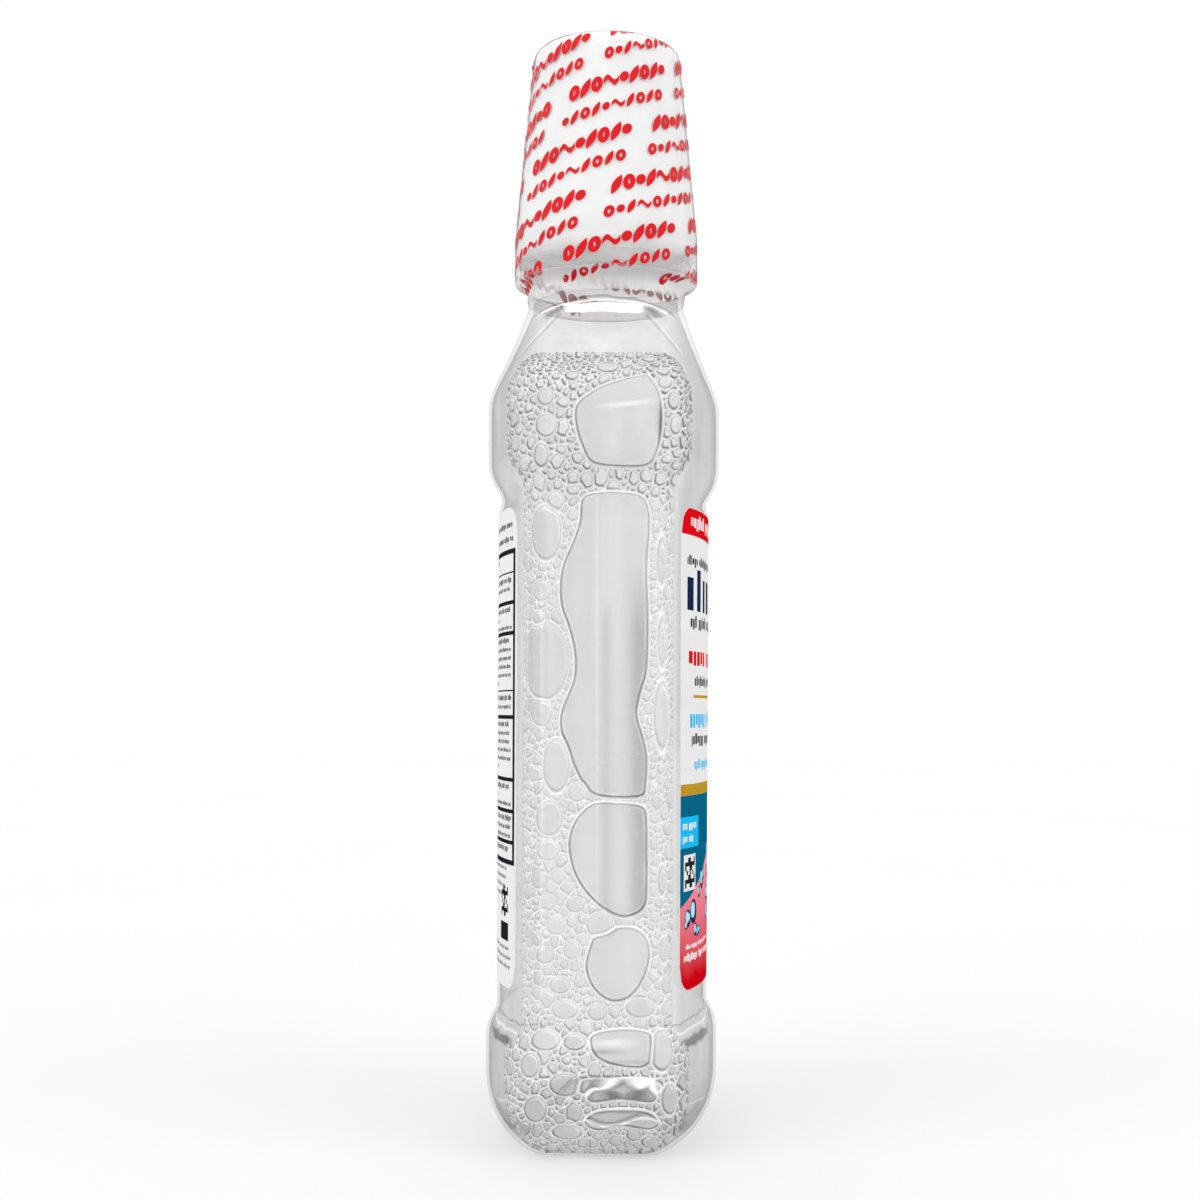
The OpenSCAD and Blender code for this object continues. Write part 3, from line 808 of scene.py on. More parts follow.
def foam_painted_light(rows, border, window, owner, vary):
    """Painted highlight and shade at the bubbles' edges, and painted light and shade bent into view
    in the windows.
    """
    # A border gets a painted white line with a painted dark one beside it, darkest low on a
    # bubble's left
    up, right = np.gradient(border)
    side = 0.5 + 0.5 * (0.6 * right + 0.8 * up) / np.maximum(np.hypot(up, right), 1e-6)
    z = rows[..., 2]
    strong = np.interp(z, LINE_HEIGHTS, PAINTED_SHADE_STRENGTHS)
    tone = 0.02 + 0.035 * np.sin(owner * 3.7)
    # Painted highlights inside the small bubbles, towards their upper right
    painted_glint = 0.7 * (1 - side) ** 2 * vary * bell(border, 1.1, 0.3)
    shade = strong * (0.14 + 0.7 * side ** 1.5 * (0.3 + 0.7 * vary))
    # Windows get a painted white outline, a painted dark line inside it and painted shade near
    # their edge; small bubbles a painted white line and painted shade, over a tone that differs at
    # random
    white = np.where(window, 0.85 * bell(border, 0.15, 0.5) + 0.35 * vary * bell(border, 1.9, 0.3),
                     (0.5 + 0.5 * vary) * bell(border, 0, 0.32) + painted_glint)
    dark = np.where(window, (0.25 + 0.5 * side) * bell(border, 1.0, 0.42) + 0.03
                    + 0.07 * np.exp(-border / 3), tone + shade * bell(border, 0.62, 0.34))
    px, py = to_image(rows)
    # Painted shade in soft upright bands behind the two long windows, and a painted bright seam
    long = np.isin(owner, (1, 2))
    dark += long * (0.13 * bell(px, BAND_X, 6) * np.clip((py - BAND_Y) / 25, 0, 1)
                    + 0.32 * bell(px, DEEP_BAND_X, 11)
                    * np.clip((py - DEEP_BAND_Y) / 70, 0, 1))
    white += long * 0.14 * bell(px, BRIGHT_SEAM_X, 1.4)
    # A painted dark crescent and highlight in the top window, and a painted bright line down the
    # left
    crescent = 0.75 * bell(px, CRESCENT_X, 2.4) * bell(py, CRESCENT_Y, 18)
    dark += (owner == 0) * (crescent + 0.04)
    shine = bell(py - 0.12 * (SHINE_END_X - px), SHINE_Y, 2.5)
    white += (owner == 0) * 0.5 * shine * bell(px, SHINE_X, 26)
    white += 0.22 * bell(px, LEFT_LINE_X, 2.2) * (z > 32) * (z < 112)
    # Painted bent light and shade in two of the low windows
    ending = np.clip((LOW_LINE_END_X - px) / 34, 0, 1)
    dark += (owner == 4) * (0.3 * bell(py, LOW_LINE_Y, 2.6) * ending
                            + 0.2 * bell(py, LOW_FOOT_Y, 2.2))
    white += (owner == 4) * 0.35 * bell(py, LOW_LIGHT_Y, 4) * bell(px, LOW_LIGHT_X, 18)
    swing = py - SWING_Y - 4.5 * np.sin((px - SWING_X) / 11)
    dark += (owner == 6) * (0.42 * bell(swing, 0, 1.8) + 0.3 * bell(py, SWING_TOP_Y, 1.5))
    white += (owner == 6) * 0.6 * bell(swing, 4, 1.5)
    return white, dark


def make_foam(material):
    """Bubbles pressed against the wall: a relief of domes whose borders are grooves."""
    rows, arcs = foam_grid()
    rise = travelled(rows[:, rows.shape[1] // 2])
    border, window, owner = foam_cells(rows, arcs, rise)
    # Some borders are thick and some are hairlines
    vary = 0.5 + 0.5 * np.sin(owner * 2.4) * np.sin(arcs * 0.9 + rise[:, None] * 0.6)
    wide = np.where(window, 0.55, 0.3) * (0.85 + 0.4 * vary)
    depth = np.where(window, 0.6, 0.42) * bell(border, 0, wide)
    depth += np.where(window, 0.22 * bell(border, 2.6, 0.5), 0.3 * np.exp(-border / 0.9))
    fade = np.clip((np.abs(arcs).max(axis=1)[:, None] - np.abs(arcs)) / 0.3, 0, 1)
    skin = rows - facing_out(rows) * (depth * fade + 0.02)[..., None]
    skin[..., 0] = np.where(rows[..., 2] < FLAT_BACK_Z,
                            np.minimum(skin[..., 0], -LIQUID_X - 0.02), skin[..., 0])
    white, dark = foam_painted_light(rows, border, window, owner, vary)
    height, width = skin.shape[:2]
    front = skin.reshape(-1, 3)
    index = np.arange(height * width).reshape(height, width)
    faces = [(index[i, j], index[i + 1, j], index[i + 1, j + 1], index[i, j + 1])
             for i in range(height - 1) for j in range(width - 1)]
    # A plain back closes the bubbles against the liquid
    loop = [*index[0], *index[1:, -1], *index[-1, -2::-1], *index[-2:0:-1, 0]]
    back = front[loop].copy()
    back[:, 0] = np.maximum(back[:, 0] + 0.05, -LIQUID_X)
    start, count = len(front), len(loop)
    faces += [(loop[i], loop[(i + 1) % count], start + (i + 1) % count, start + i)
              for i in range(count)]
    faces.append(tuple(start + i for i in range(count)))
    # The painted highlight and painted shade shares go on the mesh as the attributes white and dark
    lines = [(name, np.concatenate([np.clip(values * fade, 0, most).ravel(), np.zeros(count)]))
             for name, values, most in (("white", white, 0.95), ("dark", dark, 0.85))]
    points = np.vstack([front, back])
    piece = mesh_piece("foam_bubbles", points, faces, [material], attributes=lines)
    return finish_piece(piece, "bottle", "foam", "foam")


# Cap and film


def revolved(profile, wave=None):
    """Points of a round piece from its half profile (radius, z); wave(angle, z) widens it."""
    points = []
    for r, z in profile:
        for i in range(ROUND_N):
            ang = 2 * math.pi * i / ROUND_N
            grown = r + (wave(ang, z) if wave else 0)
            points.append((grown * math.cos(ang), grown * math.sin(ang), z))
    return points


def closed_tube(rows, inward=False):
    """Faces of a round skin whose last row meets its first."""
    faces, last = tube_faces(rows, ROUND_N), (rows - 1) * ROUND_N
    faces += [(last + i, last + (i + 1) % ROUND_N, (i + 1) % ROUND_N, i) for i in range(ROUND_N)]
    return [f[::-1] for f in faces] if inward else faces


def cup_r(z):
    return CAP_R - (z - CAP_BAND_Z) * (CAP_R - CAP_TOP_R) / (CAP_TOP_Z - CAP_BAND_Z)


def arc(cx, cz, r, start, end, steps):
    turns = [math.radians(mix(start, end, i / steps)) for i in range(steps + 1)]
    return [(cx + r * math.cos(t), cz + r * math.sin(t)) for t in turns]


def along(points, step):
    """The same profile with points no further apart than step."""
    out = [points[0]]
    for p, q in zip(points, points[1:]):
        n = max(1, int(math.dist(p, q) / step))
        out += [mix_all(p, q, (i + 1) / n) for i in range(n)]
    return out


def make_cap(material):
    top_r = cup_r(CAP_TOP_Z)
    inner_top = CAP_TOP_Z - CUP_TOP
    inner_r = cup_r(inner_top) - CUP_WALL
    inner_foot = cup_r(CAP_BAND_Z) - CUP_WALL
    edge = CAP_EDGE_R - CUP_WALL
    outside = [(CAP_BORE_R, RIM_Z), (CAP_R - 0.3, RIM_Z), (CAP_R - 0.08, RIM_Z + 0.1),
               (CAP_R, RIM_Z + 0.35), (CAP_R, CAP_BAND_Z)]
    outside += arc(top_r - CAP_EDGE_R, CAP_TOP_Z - CAP_EDGE_R, CAP_EDGE_R, 0, 90, 10)
    outside += [(8, CAP_TOP_Z - 0.02), (0.01, CAP_TOP_Z - 0.02)]
    inside = [(0.01, inner_top)] + arc(inner_r - edge, inner_top - edge, edge, 90, 0, 8)
    inside += [(inner_foot, CAP_BAND_Z + 0.3), (inner_foot - 0.2, CAP_BAND_Z),
               (SEAT_BORE_R, CAP_BAND_Z), (SEAT_BORE_R, SEAT_Z), (CAP_BORE_R, SEAT_Z),
               (CAP_BORE_R, RIM_Z)]
    profile = along(outside + inside, 1.5)
    points, faces = revolved(profile), tube_faces(len(profile), ROUND_N)
    thread_strip(points, faces, CAP_BORE_R, CAP_THREAD_R, CAP_THREAD_Z, CAP_TURNS,
                 CAP_THREAD_START)
    piece = mesh_piece("dosing_cap", points, faces, [material])
    return finish_piece(piece, "cap", "cap", "cap")


def crease(ang, z):
    """Small folds that the film keeps where it shrank most."""
    low = math.exp(-((z - 181.5) / 3.2) ** 2)
    high = math.exp(-((z - 228.5) / 2.5) ** 2)
    folds = (math.sin(ang * 23 + 1.5 * math.sin(ang * 5) + z * 0.5)
             + 0.7 * math.sin(ang * 41 + 2.1 * math.sin(ang * 3) - z * 0.7))
    fine = 0.008 * math.sin(ang * 67 + 2 * math.sin(ang * 7))
    return 0.045 * folds * (low + 0.8 * high) + fine


def film_profile(grow):
    """Half profile of the film from its lower edge to the open circle on the cap's top."""
    edge = CAP_EDGE_R + grow
    profile = [(CAP_R + grow, RIM_Z - TEAR_GAP), (CAP_R + grow, CAP_BAND_Z)]
    profile += arc(cup_r(CAP_TOP_Z) + grow - edge, CAP_TOP_Z + grow - edge, edge, 0, 90, 12)
    profile.append((FILM_OPEN_R, CAP_TOP_Z + grow))
    return along(profile, 0.8)


def make_sleeve(film):
    outer = film_profile(FILM_GAP + FILM_T)
    inner = film_profile(FILM_GAP + FILM_T - SKIN_T)
    points = revolved(outer, lambda ang, z: crease(ang, z) + CREASE_LIFT)
    points += revolved(inner[::-1], lambda ang, z: crease(ang, z) * 0.9 + CREASE_LIFT)
    faces = closed_tube(len(outer) + len(inner))
    piece = mesh_piece("film_sleeve", points, faces, [film])
    return finish_piece(piece, "cap", "shrink_film", "sleeve")


def hem_profile():
    """Outside of the hem from the tear line in to its lower edge."""
    top = RIM_Z - TEAR_GAP * 2
    r = CAP_R + FILM_GAP + FILM_T
    tuck = NECK_R + FILM_GAP * 2 + FILM_T
    bends = ((0.0, 0.0), (0.06, 0.3), (0.3, 0.6), (0.55, 0.9), (0.83, 1.5), (0.96, 2.0),
             (1.0, 2.4))
    profile = [(mix(r, tuck, t), top - drop) for t, drop in bends] + [(tuck, RIM_Z - HEM_H)]
    return along(profile, 0.4)


HEM = hem_profile()


def hem_wave(ang, z):
    """Waves of the hem, kept from sinking into the neck."""
    fade = min(1, max(0, (RIM_Z - 0.6 - z) / 1.5))
    folds = math.sin(ang * 31 + math.sin(ang * 6) * 2) + 0.6 * math.sin(ang * 53 + z)
    return max(0.1 * fade * folds, -0.05)


def make_hem(film):
    inner = [(r - SKIN_T, z) for r, z in HEM]
    points = revolved(HEM, hem_wave) + revolved(inner[::-1], hem_wave)
    piece = mesh_piece("film_hem", points, closed_tube(len(HEM) * 2, inward=True), [film])
    return finish_piece(piece, "bottle", "shrink_film_hem", "sleeve_hem")


# Print on the film: rows of plain shapes, in mm round the cap (at radius 18) and along it
PRINT_R = 18.0
PAIR_RISE = 11.3
PAIRS = 3
ROW_SLOPE = PAIR_RISE * PAIRS / (2 * math.pi * PRINT_R)
WORD_W, WORD_GAP = 23.4, 4.6
PRINT_FOOT, PRINT_TOP, HEM_PRINT, PRINT_LIFT = 138.6, 234.5, 5.0, 0.02
BOLD_RISE, BOLD_SHIFT = 4.9, 1.4
# Height, stroke, widths and the two orders of shapes of a bold and of a light row
BOLD_ROW = (3.4, 1.08, {"leaf": 2.3, "disc": 2.15, "ring": 2.55, "wave": 3.5},
            (("leaf", "ring", "disc", "leaf", "wave", "ring", "leaf", "disc", "ring"),
             ("ring", "leaf", "ring", "wave", "disc", "leaf", "ring", "leaf", "disc")))
LIGHT_ROW = (2.6, 0.8, {"leaf": 1.9, "disc": 1.65, "ring": 2.15, "wave": 2.9},
             (("ring", "disc", "leaf", "wave", "ring", "leaf", "disc", "leaf", "ring", "leaf"),
              ("disc", "leaf", "ring", "leaf", "disc", "wave", "leaf", "ring", "leaf", "ring")))
LEAF_LEAN = 1.05


def shape_disc(cx, cy, rx, ry, n=18):
    """A filled ellipse: a middle and two rings of points."""
    pts, faces = [(cx, cy)], []
    for share in (0.5, 1.0):
        for i in range(n):
            t = 2 * math.pi * i / n
            r = rx * ry / math.hypot(ry * math.cos(t), rx * math.sin(t)) * share
            pts.append((cx + r * math.cos(t), cy + r * math.sin(t)))
    for i in range(n):
        a, b = 1 + i, 1 + (i + 1) % n
        faces += [(0, a, b), (a, a + n, b + n, b)]
    return pts, faces


def shape_leaf(cx, cy, half, wide, steps=10):
    """A pointed leaf that leans."""
    c, s = math.cos(LEAF_LEAN), math.sin(LEAF_LEAN)
    pts = []
    for i in range(steps + 1):
        t = -1 + 2 * i / steps
        w = wide * (1 - t * t)
        pts += [(cx + t * half * c - y * s, cy + t * half * s + y * c) for y in (-w, w)]
    return pts, strip_faces(steps)


def shape_ring(cx, cy, rx, ry, w, n=22):
    pts = []
    for i in range(n):
        c, s = math.cos(2 * math.pi * i / n), math.sin(2 * math.pi * i / n)
        pts += [(cx + (rx - w) * c, cy + (ry - w) * s), (cx + rx * c, cy + ry * s)]
    return pts, [(2 * i, 2 * i + 1, 2 * ((i + 1) % n) + 1, 2 * ((i + 1) % n)) for i in range(n)]


def shape_wave(x0, y, length, swing, w, steps=14):
    """A level band that swings up and down once."""
    pts = []
    for i in range(steps + 1):
        x, middle = x0 + length * i / steps, y + swing * math.sin(2 * math.pi * i / steps)
        pts += [(x, middle - w / 2), (x, middle + w / 2)]
    return pts, strip_faces(steps)


def shape_bar(x0, y0, x1, y1):
    steps = max(1, int((x1 - x0) / 1.2))
    pts = [(mix(x0, x1, i / steps), y) for i in range(steps + 1) for y in (y0, y1)]
    return pts, strip_faces(steps)


def print_group(bold, number):
    """A row of leaves, discs, rings and waves as long as one group of the print."""
    height, stroke, wide, orders = BOLD_ROW if bold else LIGHT_ROW
    order, mid = orders[number % 2], height / 2
    room = (WORD_W - sum(wide[k] for k in order)) / (len(order) - 1)
    shapes, x = [], 0.0
    for kind in order:
        w = wide[kind]
        if kind == "ring":
            shapes.append(shape_ring(x + w / 2, mid, w / 2, height * 0.48, stroke))
        elif kind == "disc":
            shapes.append(shape_disc(x + w / 2, mid, w / 2, w / 2))
        elif kind == "leaf":
            shapes.append(shape_leaf(x + w / 2, mid, height * 0.62, stroke * 0.85))
        else:
            shapes.append(shape_wave(x, mid, w, height * 0.22, stroke * 1.1))
        x += w + room
    return shapes


def on_sleeve(z):
    """Radius and height on the sleeve, z mm up; past the edge z runs in over the top."""
    grow = FILM_GAP + FILM_T
    edge = CAP_EDGE_R + grow
    start, middle = CAP_TOP_Z + grow - edge, cup_r(CAP_TOP_Z) + grow - edge
    if z <= start:
        return (CAP_R if z < CAP_BAND_Z else cup_r(z)) + grow, z
    turn = (z - start) / edge
    if turn < math.pi / 2:
        return middle + edge * math.cos(turn), start + edge * math.sin(turn)
    return middle - (z - start - edge * math.pi / 2), start + edge


def on_hem(left):
    """Radius and height on the hem, left mm down along it from the tear line."""
    for p, q in zip(HEM, HEM[1:]):
        d = math.dist(p, q)
        if d >= left:
            return mix_all(p, q, max(0, left / d))
        left -= d
    return HEM[-1]


def film_point(w, z, lift):
    """A place on the film w mm round the cap, on the sleeve or below it on the hem."""
    ang = w / PRINT_R
    if z >= TEAR_Z:
        r, h = on_sleeve(z)
        r += crease(ang, h) + CREASE_LIFT + lift
    else:
        r, h = on_hem(RIM_Z - TEAR_GAP * 2 - z)
        r += hem_wave(ang, h) + lift
    return (r * math.cos(ang), r * math.sin(ang), h)


def make_film_print(ink):
    """The red rows on the sleeve and on the hem, one piece for each."""
    parts = {"sleeve": ([], []), "hem": ([], [])}
    around = 2 * math.pi * PRINT_R
    count = round(around / (WORD_W + WORD_GAP))
    pitch = around / count
    foot = TEAR_Z - HEM_PRINT
    limits = {"sleeve": (TEAR_Z, PRINT_TOP), "hem": (foot, TEAR_Z)}

    def lay(pts, faces):
        """Lays one shape on the film, cut where it crosses the tear line."""
        if min(z for _, z in pts) < foot or max(z for _, z in pts) > PRINT_TOP:
            return
        for target, (low, high) in limits.items():
            kept = [f for f in faces if max(pts[i][1] for i in f) > low + 0.01
                    and min(pts[i][1] for i in f) < high - 0.01]
            if kept:
                points, out = parts[target]
                first, cut = len(points), high - 0.001 if target == "hem" else high
                points += [film_point(w, min(max(z, low), cut), PRINT_LIFT) for w, z in pts]
                out += [tuple(first + i for i in f) for f in kept]

    for row in range(int((PRINT_TOP - PRINT_FOOT) / PAIR_RISE) + 2):
        for bold in (True, False):
            base = PRINT_FOOT + row * PAIR_RISE + (BOLD_RISE if bold else 0.0)
            for k in range(count):
                start = k * pitch + row * pitch / PAIRS % pitch + (BOLD_SHIFT if bold else 0.0)
                for pts, faces in print_group(bold, k + row // PAIRS * count):
                    lay([(start + x, base + y + ROW_SLOPE * (start + x)) for x, y in pts], faces)
    for target, body, slot in (("sleeve", "cap", "shrink_film"),
                               ("hem", "bottle", "shrink_film_hem")):
        finish_piece(mesh_piece("film_print_" + target, *parts[target], [ink]), body, slot)


# Labels


def label_edge(u):
    """How far the label's upper and lower edges draw in at u, for its round corners."""
    over = max(abs(u) - (LABEL_HALF_W - LABEL_CORNER_R), 0.0)
    return LABEL_CORNER_R - math.sqrt(max(LABEL_CORNER_R ** 2 - over ** 2, 0))


def label_place(u, v, lift, side):
    """Point on a label: side -1 is the front, seen from -Y, and 1 the back, seen from +Y."""
    y = float(bow(u, *PANEL)) + LABEL_GAP + lift
    return (-side * u, side * y, v)


class Art:
    """Flat shapes laid on one label, each in a material and on a layer of its own."""

    def __init__(self, side, slots, seed):
        self.side, self.slots, self.rng = side, slots, random.Random(seed)
        self.points, self.faces, self.mats, self.layer = [], [], [], 0
        self.paper()
        self.layer = 1

    def add(self, pts, faces, ink, lift=None):
        first = len(self.points)
        lift = LABEL_T + INK_STEP * (1 + self.layer) if lift is None else lift
        self.points += [label_place(u, v, lift, self.side) for u, v in pts]
        self.faces += [tuple(first + i for i in f) for f in faces]
        self.mats += [ink] * len(faces)

    def paper(self, columns=60):
        """The label's own sheet, white outside and clear inside, with its thickness."""
        us = [mix(-LABEL_HALF_W, LABEL_HALF_W, i / columns) for i in range(columns + 1)]
        low = [(u, LABEL_Z + label_edge(u)) for u in us]
        high = [(u, LABEL_TOP_Z - label_edge(u)) for u in us]
        sheet = [p for pair in zip(low, high) for p in pair]
        self.add(sheet, strip_faces(columns), "white", LABEL_T)
        self.add(sheet, [f[::-1] for f in strip_faces(columns)], "carrier", 0.0)
        # The rim has points of its own, so that the sheets are shaded without it
        rim = low + high[::-1]
        n, first = len(rim), len(self.points)
        for lift in (LABEL_T, 0.0):
            self.add(rim, [], "white", lift)
        for k in range(n):
            i, j = first + k, first + (k + 1) % n
            self.faces.append((j, i, i + n, j + n))
            self.mats.append("white")

    def field(self, low, high, ink, columns=90):
        """A band across the label, cut to its corners; high may be a curve."""
        pts = []
        for i in range(columns + 1):
            u = mix(-LABEL_HALF_W, LABEL_HALF_W, i / columns)
            v0 = max(low, LABEL_Z + label_edge(u))
            v1 = min(high(u) if callable(high) else high, LABEL_TOP_Z - label_edge(u))
            pts += [(u, v0), (u, max(v0, v1))]
        self.add(pts, strip_faces(columns), ink)

    def bar(self, u0, v0, u1, v1, ink):
        self.add(*shape_bar(u0, v0, u1, v1), ink)

    def text(self, u0, u1, v, height, ink):
        """A row of small plain bars in groups where words would stand."""
        rng, u = self.rng, u0
        while u < u1 - height:
            for _ in range(rng.randint(3, 9)):
                if u > u1 - height * 0.5:
                    break
                w = height * rng.choice((0.3, 0.5, 0.5, 0.62))
                low, high = rng.choice(((0, 1), (0, 0.74), (0, 0.74), (0.1, 0.74), (-0.2, 0.74)))
                self.bar(u, v + low * height, u + w, v + high * height, ink)
                u += w + height * 0.17
            u += height * 0.55
            # A draw spent between groups, so that the rows stay as they are
            rng.random()

    def lattice(self, u, v, light, dark, cells=7, size=0.86, frame_w=0.6):
        """A plain square lattice where a code would stand."""
        span = cells * size
        self.bar(u - frame_w, v - frame_w, u + span + frame_w, v + span + frame_w, light)
        self.layer += 1
        for i in range(cells):
            for j in range(cells):
                if (i * 3 + j * 5 + i * j) % 4 < 2:
                    x, y = u + i * size, v + j * size
                    self.bar(x, y, u + (i + 1) * size, v + (j + 1) * size, dark)
        self.layer -= 1

    def finished(self, name, slot):
        order = list(self.slots)
        faces_in = [order.index(ink) for ink in self.mats]
        piece = mesh_piece(name, self.points, self.faces, list(self.slots.values()), faces_in)
        return finish_piece(piece, "bottle", slot, slot)


# Rows of bars on the front label: from and to, height over the foot, the row's height, ink
FRONT_ROWS = (
    (-31, 24, 104.9, 2.3, "ink"), (-32, 26, 97.2, 3.9, "red"), (-28, 22, 93.2, 2.0, "ink"),
    (-31, 26, 85.3, 2.9, "sky"), (-30, 14, 81.4, 2.2, "ink"), (-28, 8, 76.4, 2.0, "sky"),
)
TITLE_WIDTHS = (5.2, 4.4, 3.4, 5.2, 4.8, 5.2, 3.2, 4.9, 4.4)
TEAL_TOP_Z, GOLD_Z = 73.5, 71.2


def berry_top(u):
    """Upper edge of the coloured field at u."""
    return 53.5 + 5.5 * math.sin((u + 20) / 17) + 0.12 * (u + LABEL_HALF_W)


def make_front_label(slots):
    art = Art(-1, slots, 11)
    rng = art.rng
    art.field(123.2, 130, "red")
    art.field(30, TEAL_TOP_Z, "teal")
    art.layer = 2
    art.field(GOLD_Z, TEAL_TOP_Z, "gold")
    art.field(30, berry_top, "berry")
    art.text(-31, 27, 124.9, 2.6, "white")
    # Rows of plain bars stand where the lettering was
    art.text(-33, 22, 117.3, 1.9, "ink")
    u = -33.0
    for w in TITLE_WIDTHS:
        height = rng.choice((6.6, 6.6, 8.4))
        art.bar(u, 108.2, u + w * 0.74, 108.2 + height, "navy")
        u += w + 1.2
    for row in FRONT_ROWS:
        art.text(*row)
    art.bar(-29, 90.7, 12, 91.3, "gold")
    art.bar(-36, 60.8, -24.5, 67.0, "sky")
    art.layer = 3
    art.text(-34.8, -25.5, 64.5, 1.6, "white")
    art.text(-34.8, -26.5, 61.9, 1.6, "white")
    art.lattice(-33.6, 52.8, "white", "ink")
    # Bubbles over the coloured field, clear of the codes and of the small rows
    for _ in range(130):
        u, v = rng.uniform(-34.5, 34.5), rng.uniform(36, 62)
        r = rng.uniform(0.8, 2.5)
        if (v + r > berry_top(u) + 3 or (u < -24 and v + r > 52) or (u < -5 and v - r < 42.5)
                or abs(u) + r > 35.5):
            continue
        art.layer = 4
        art.add(*shape_disc(u, v, r, r * 1.12), "deep")
        art.layer = 5
        art.add(*shape_disc(u - r * 0.18, v + r * 0.15, r * 0.62, r * 0.72), "pale")
    art.layer = 3
    for k in range(5):
        art.add(*shape_ring(14.0, 62.5, 16 - k * 2.8, 8.6 - k * 1.5, 0.5, 48), "pale")
    art.text(-33, -12, 40.6, 1.0, "white")
    art.text(-34, -8, 38.2, 1.6, "white")
    return art.finished("label_front", "front_label")


# The back label's frame: its sides, its width, and height and thickness of each line across
FRAME_L, FRAME_R, FRAME_W = -35.3, 35.3, 1.3
FRAME_LINES = ((119.8, 1.0), (115.6, 0.3), (109.6, 0.8), (103.5, 0.8), (92.0, 0.3), (86.7, 0.8),
               (74.2, 0.8), (67.9, 0.8), (61.7, 0.8), (57.7, 1.0))
STRIPES, STRIPE_STEP = 24, 0.76


def make_back_label(slots):
    art = Art(1, slots, 5)
    rng = art.rng
    for v in (124.6, 121.8):
        art.text(-33, 34.6, v, 1.3, "ink")
    for v, thick in FRAME_LINES:
        art.bar(FRAME_L, v - thick / 2, FRAME_R, v + thick / 2, "ink")
    for u in (FRAME_L, FRAME_R - FRAME_W):
        art.bar(u, 57.2, u + FRAME_W, 120.3, "ink")
    for (v1, _), (v0, _) in zip(FRAME_LINES, FRAME_LINES[1:]):
        v, height = v1 - 1.9, 1.15
        while v > v0 + 0.7:
            end = FRAME_R - (2.4 if rng.random() < 0.75 else 16)
            art.text(FRAME_L + 2.6, end, v, height, "ink")
            v, height = v - 1.7, 0.85
    for v in (56.0, 54.2, 52.4, 50.6):
        art.text(-33, 30, v, 0.8, "soft")
    art.lattice(25.2, 46.6, "white", "ink")
    art.bar(-33, 42.2, -14, 48.6, "ink")
    art.bar(24.5, 41.8, 31.5, 45.4, "ink")
    art.layer = 2
    for i in range(STRIPES):
        u = -32.4 + i * STRIPE_STEP
        art.bar(u, 42.8, u + rng.choice((0.2, 0.35, 0.5)), 48.0, "white")
    art.layer = 1
    for v in (40.0, 38.2, 36.4):
        art.text(-31, 33, v, 0.8, "soft")
    return art.finished("label_back", "back_label")


def print_material(name, colour_of):
    """Matt print on the labels. Light passes it, so the sheet looks plain from inside."""
    mat, nt, out = new_material("print_" + name)
    body = shader(nt, "BsdfPrincipled", Base_Color=colour_of(nt), Roughness=0.5,
                  Specular_IOR_Level=0.0)
    clear = shader(nt, "BsdfTransparent", Color=grey(1))
    surface = layered(nt, any_ray(nt, "Is Shadow Ray", "Is Diffuse Ray"), body, clear)
    nt.links.new(surface, out.inputs[0])
    return mat


def ink_colour(colour):
    pale = tuple(min(1.0, c * 1.07 + 0.002) for c in colour[:3]) + (1.0,)
    return lambda nt: blend_colour(nt, noise(nt, object_place(nt), 420.0), colour, pale)


# Heights in metres over which the coloured field turns from deep to pale
BERRY_DEEP_Z, BERRY_PALE_Z = 0.034, 0.056


def berry_colour(nt):
    """Pink at the coloured field's upper edge, deeper red below."""
    place = coordinates(nt)
    height = node(nt, "SeparateXYZ", {0: place}).outputs[2]
    share = map_range(nt, height, BERRY_DEEP_Z, BERRY_PALE_Z)
    share = plus(nt, share, times(nt, minus(nt, noise(nt, place, 120.0), 0.5), 0.25))
    return blend_colour(nt, share, rgb(188, 4, 20), rgb(228, 138, 152))


def paper_material():
    """White label film that some light comes through."""
    mat, nt, out = new_material("print_paper")
    colour = blend_colour(nt, noise(nt, object_place(nt), 350.0), grey(0.67), grey(0.71))
    front = shader(nt, "BsdfPrincipled", Base_Color=colour, Roughness=0.5, Specular_IOR_Level=0.0)
    through = shader(nt, "BsdfTranslucent", Color=grey(0.92))
    # Seen from inside the bottle it is lit through from the front
    behind = node(nt, "NewGeometry").outputs["Backfacing"]
    surface = layered(nt, map_range(nt, behind, 0.0, 1.0, 0.12, 0.9), front, through)
    nt.links.new(surface, out.inputs[0])
    return mat


INK_COLOURS = {
    "red": (200, 6, 18), "navy": (24, 32, 66), "ink": (28, 28, 32), "soft": (96, 98, 102),
    "gold": (170, 134, 34), "sky": (20, 168, 216), "teal": (4, 89, 118), "deep": (18, 40, 72),
    "pale": (150, 208, 228),
}


def label_slots():
    made = {"white": paper_material()}
    for name, colour in INK_COLOURS.items():
        made[name] = print_material(name, ink_colour(rgb(*colour)))
    # The light let through falls slightly at the edges: painted shade
    made["carrier"] = clear_material("label_carrier", ((0, 0.98), (1, 0.95)), 0.0, 0.0)
    made["berry"] = print_material("berry", berry_colour)
    return made


# Stage

# Floor and lights are set so that the floor behind the bottle looks as white as the background
FLOOR_GLOW = 0.325
FLOOR_ALBEDO = 0.4
FLOOR_HALF = 3000.0
WORLD_LIGHT = 1.2
# Name, azimuth, height over the floor in degrees, strength
LAMPS = (("key", -140, 30, 1.27), ("fill", -30, 30, 0.98), ("back", 100, 35, 0.68))
LAMP_SOFTNESS = 55


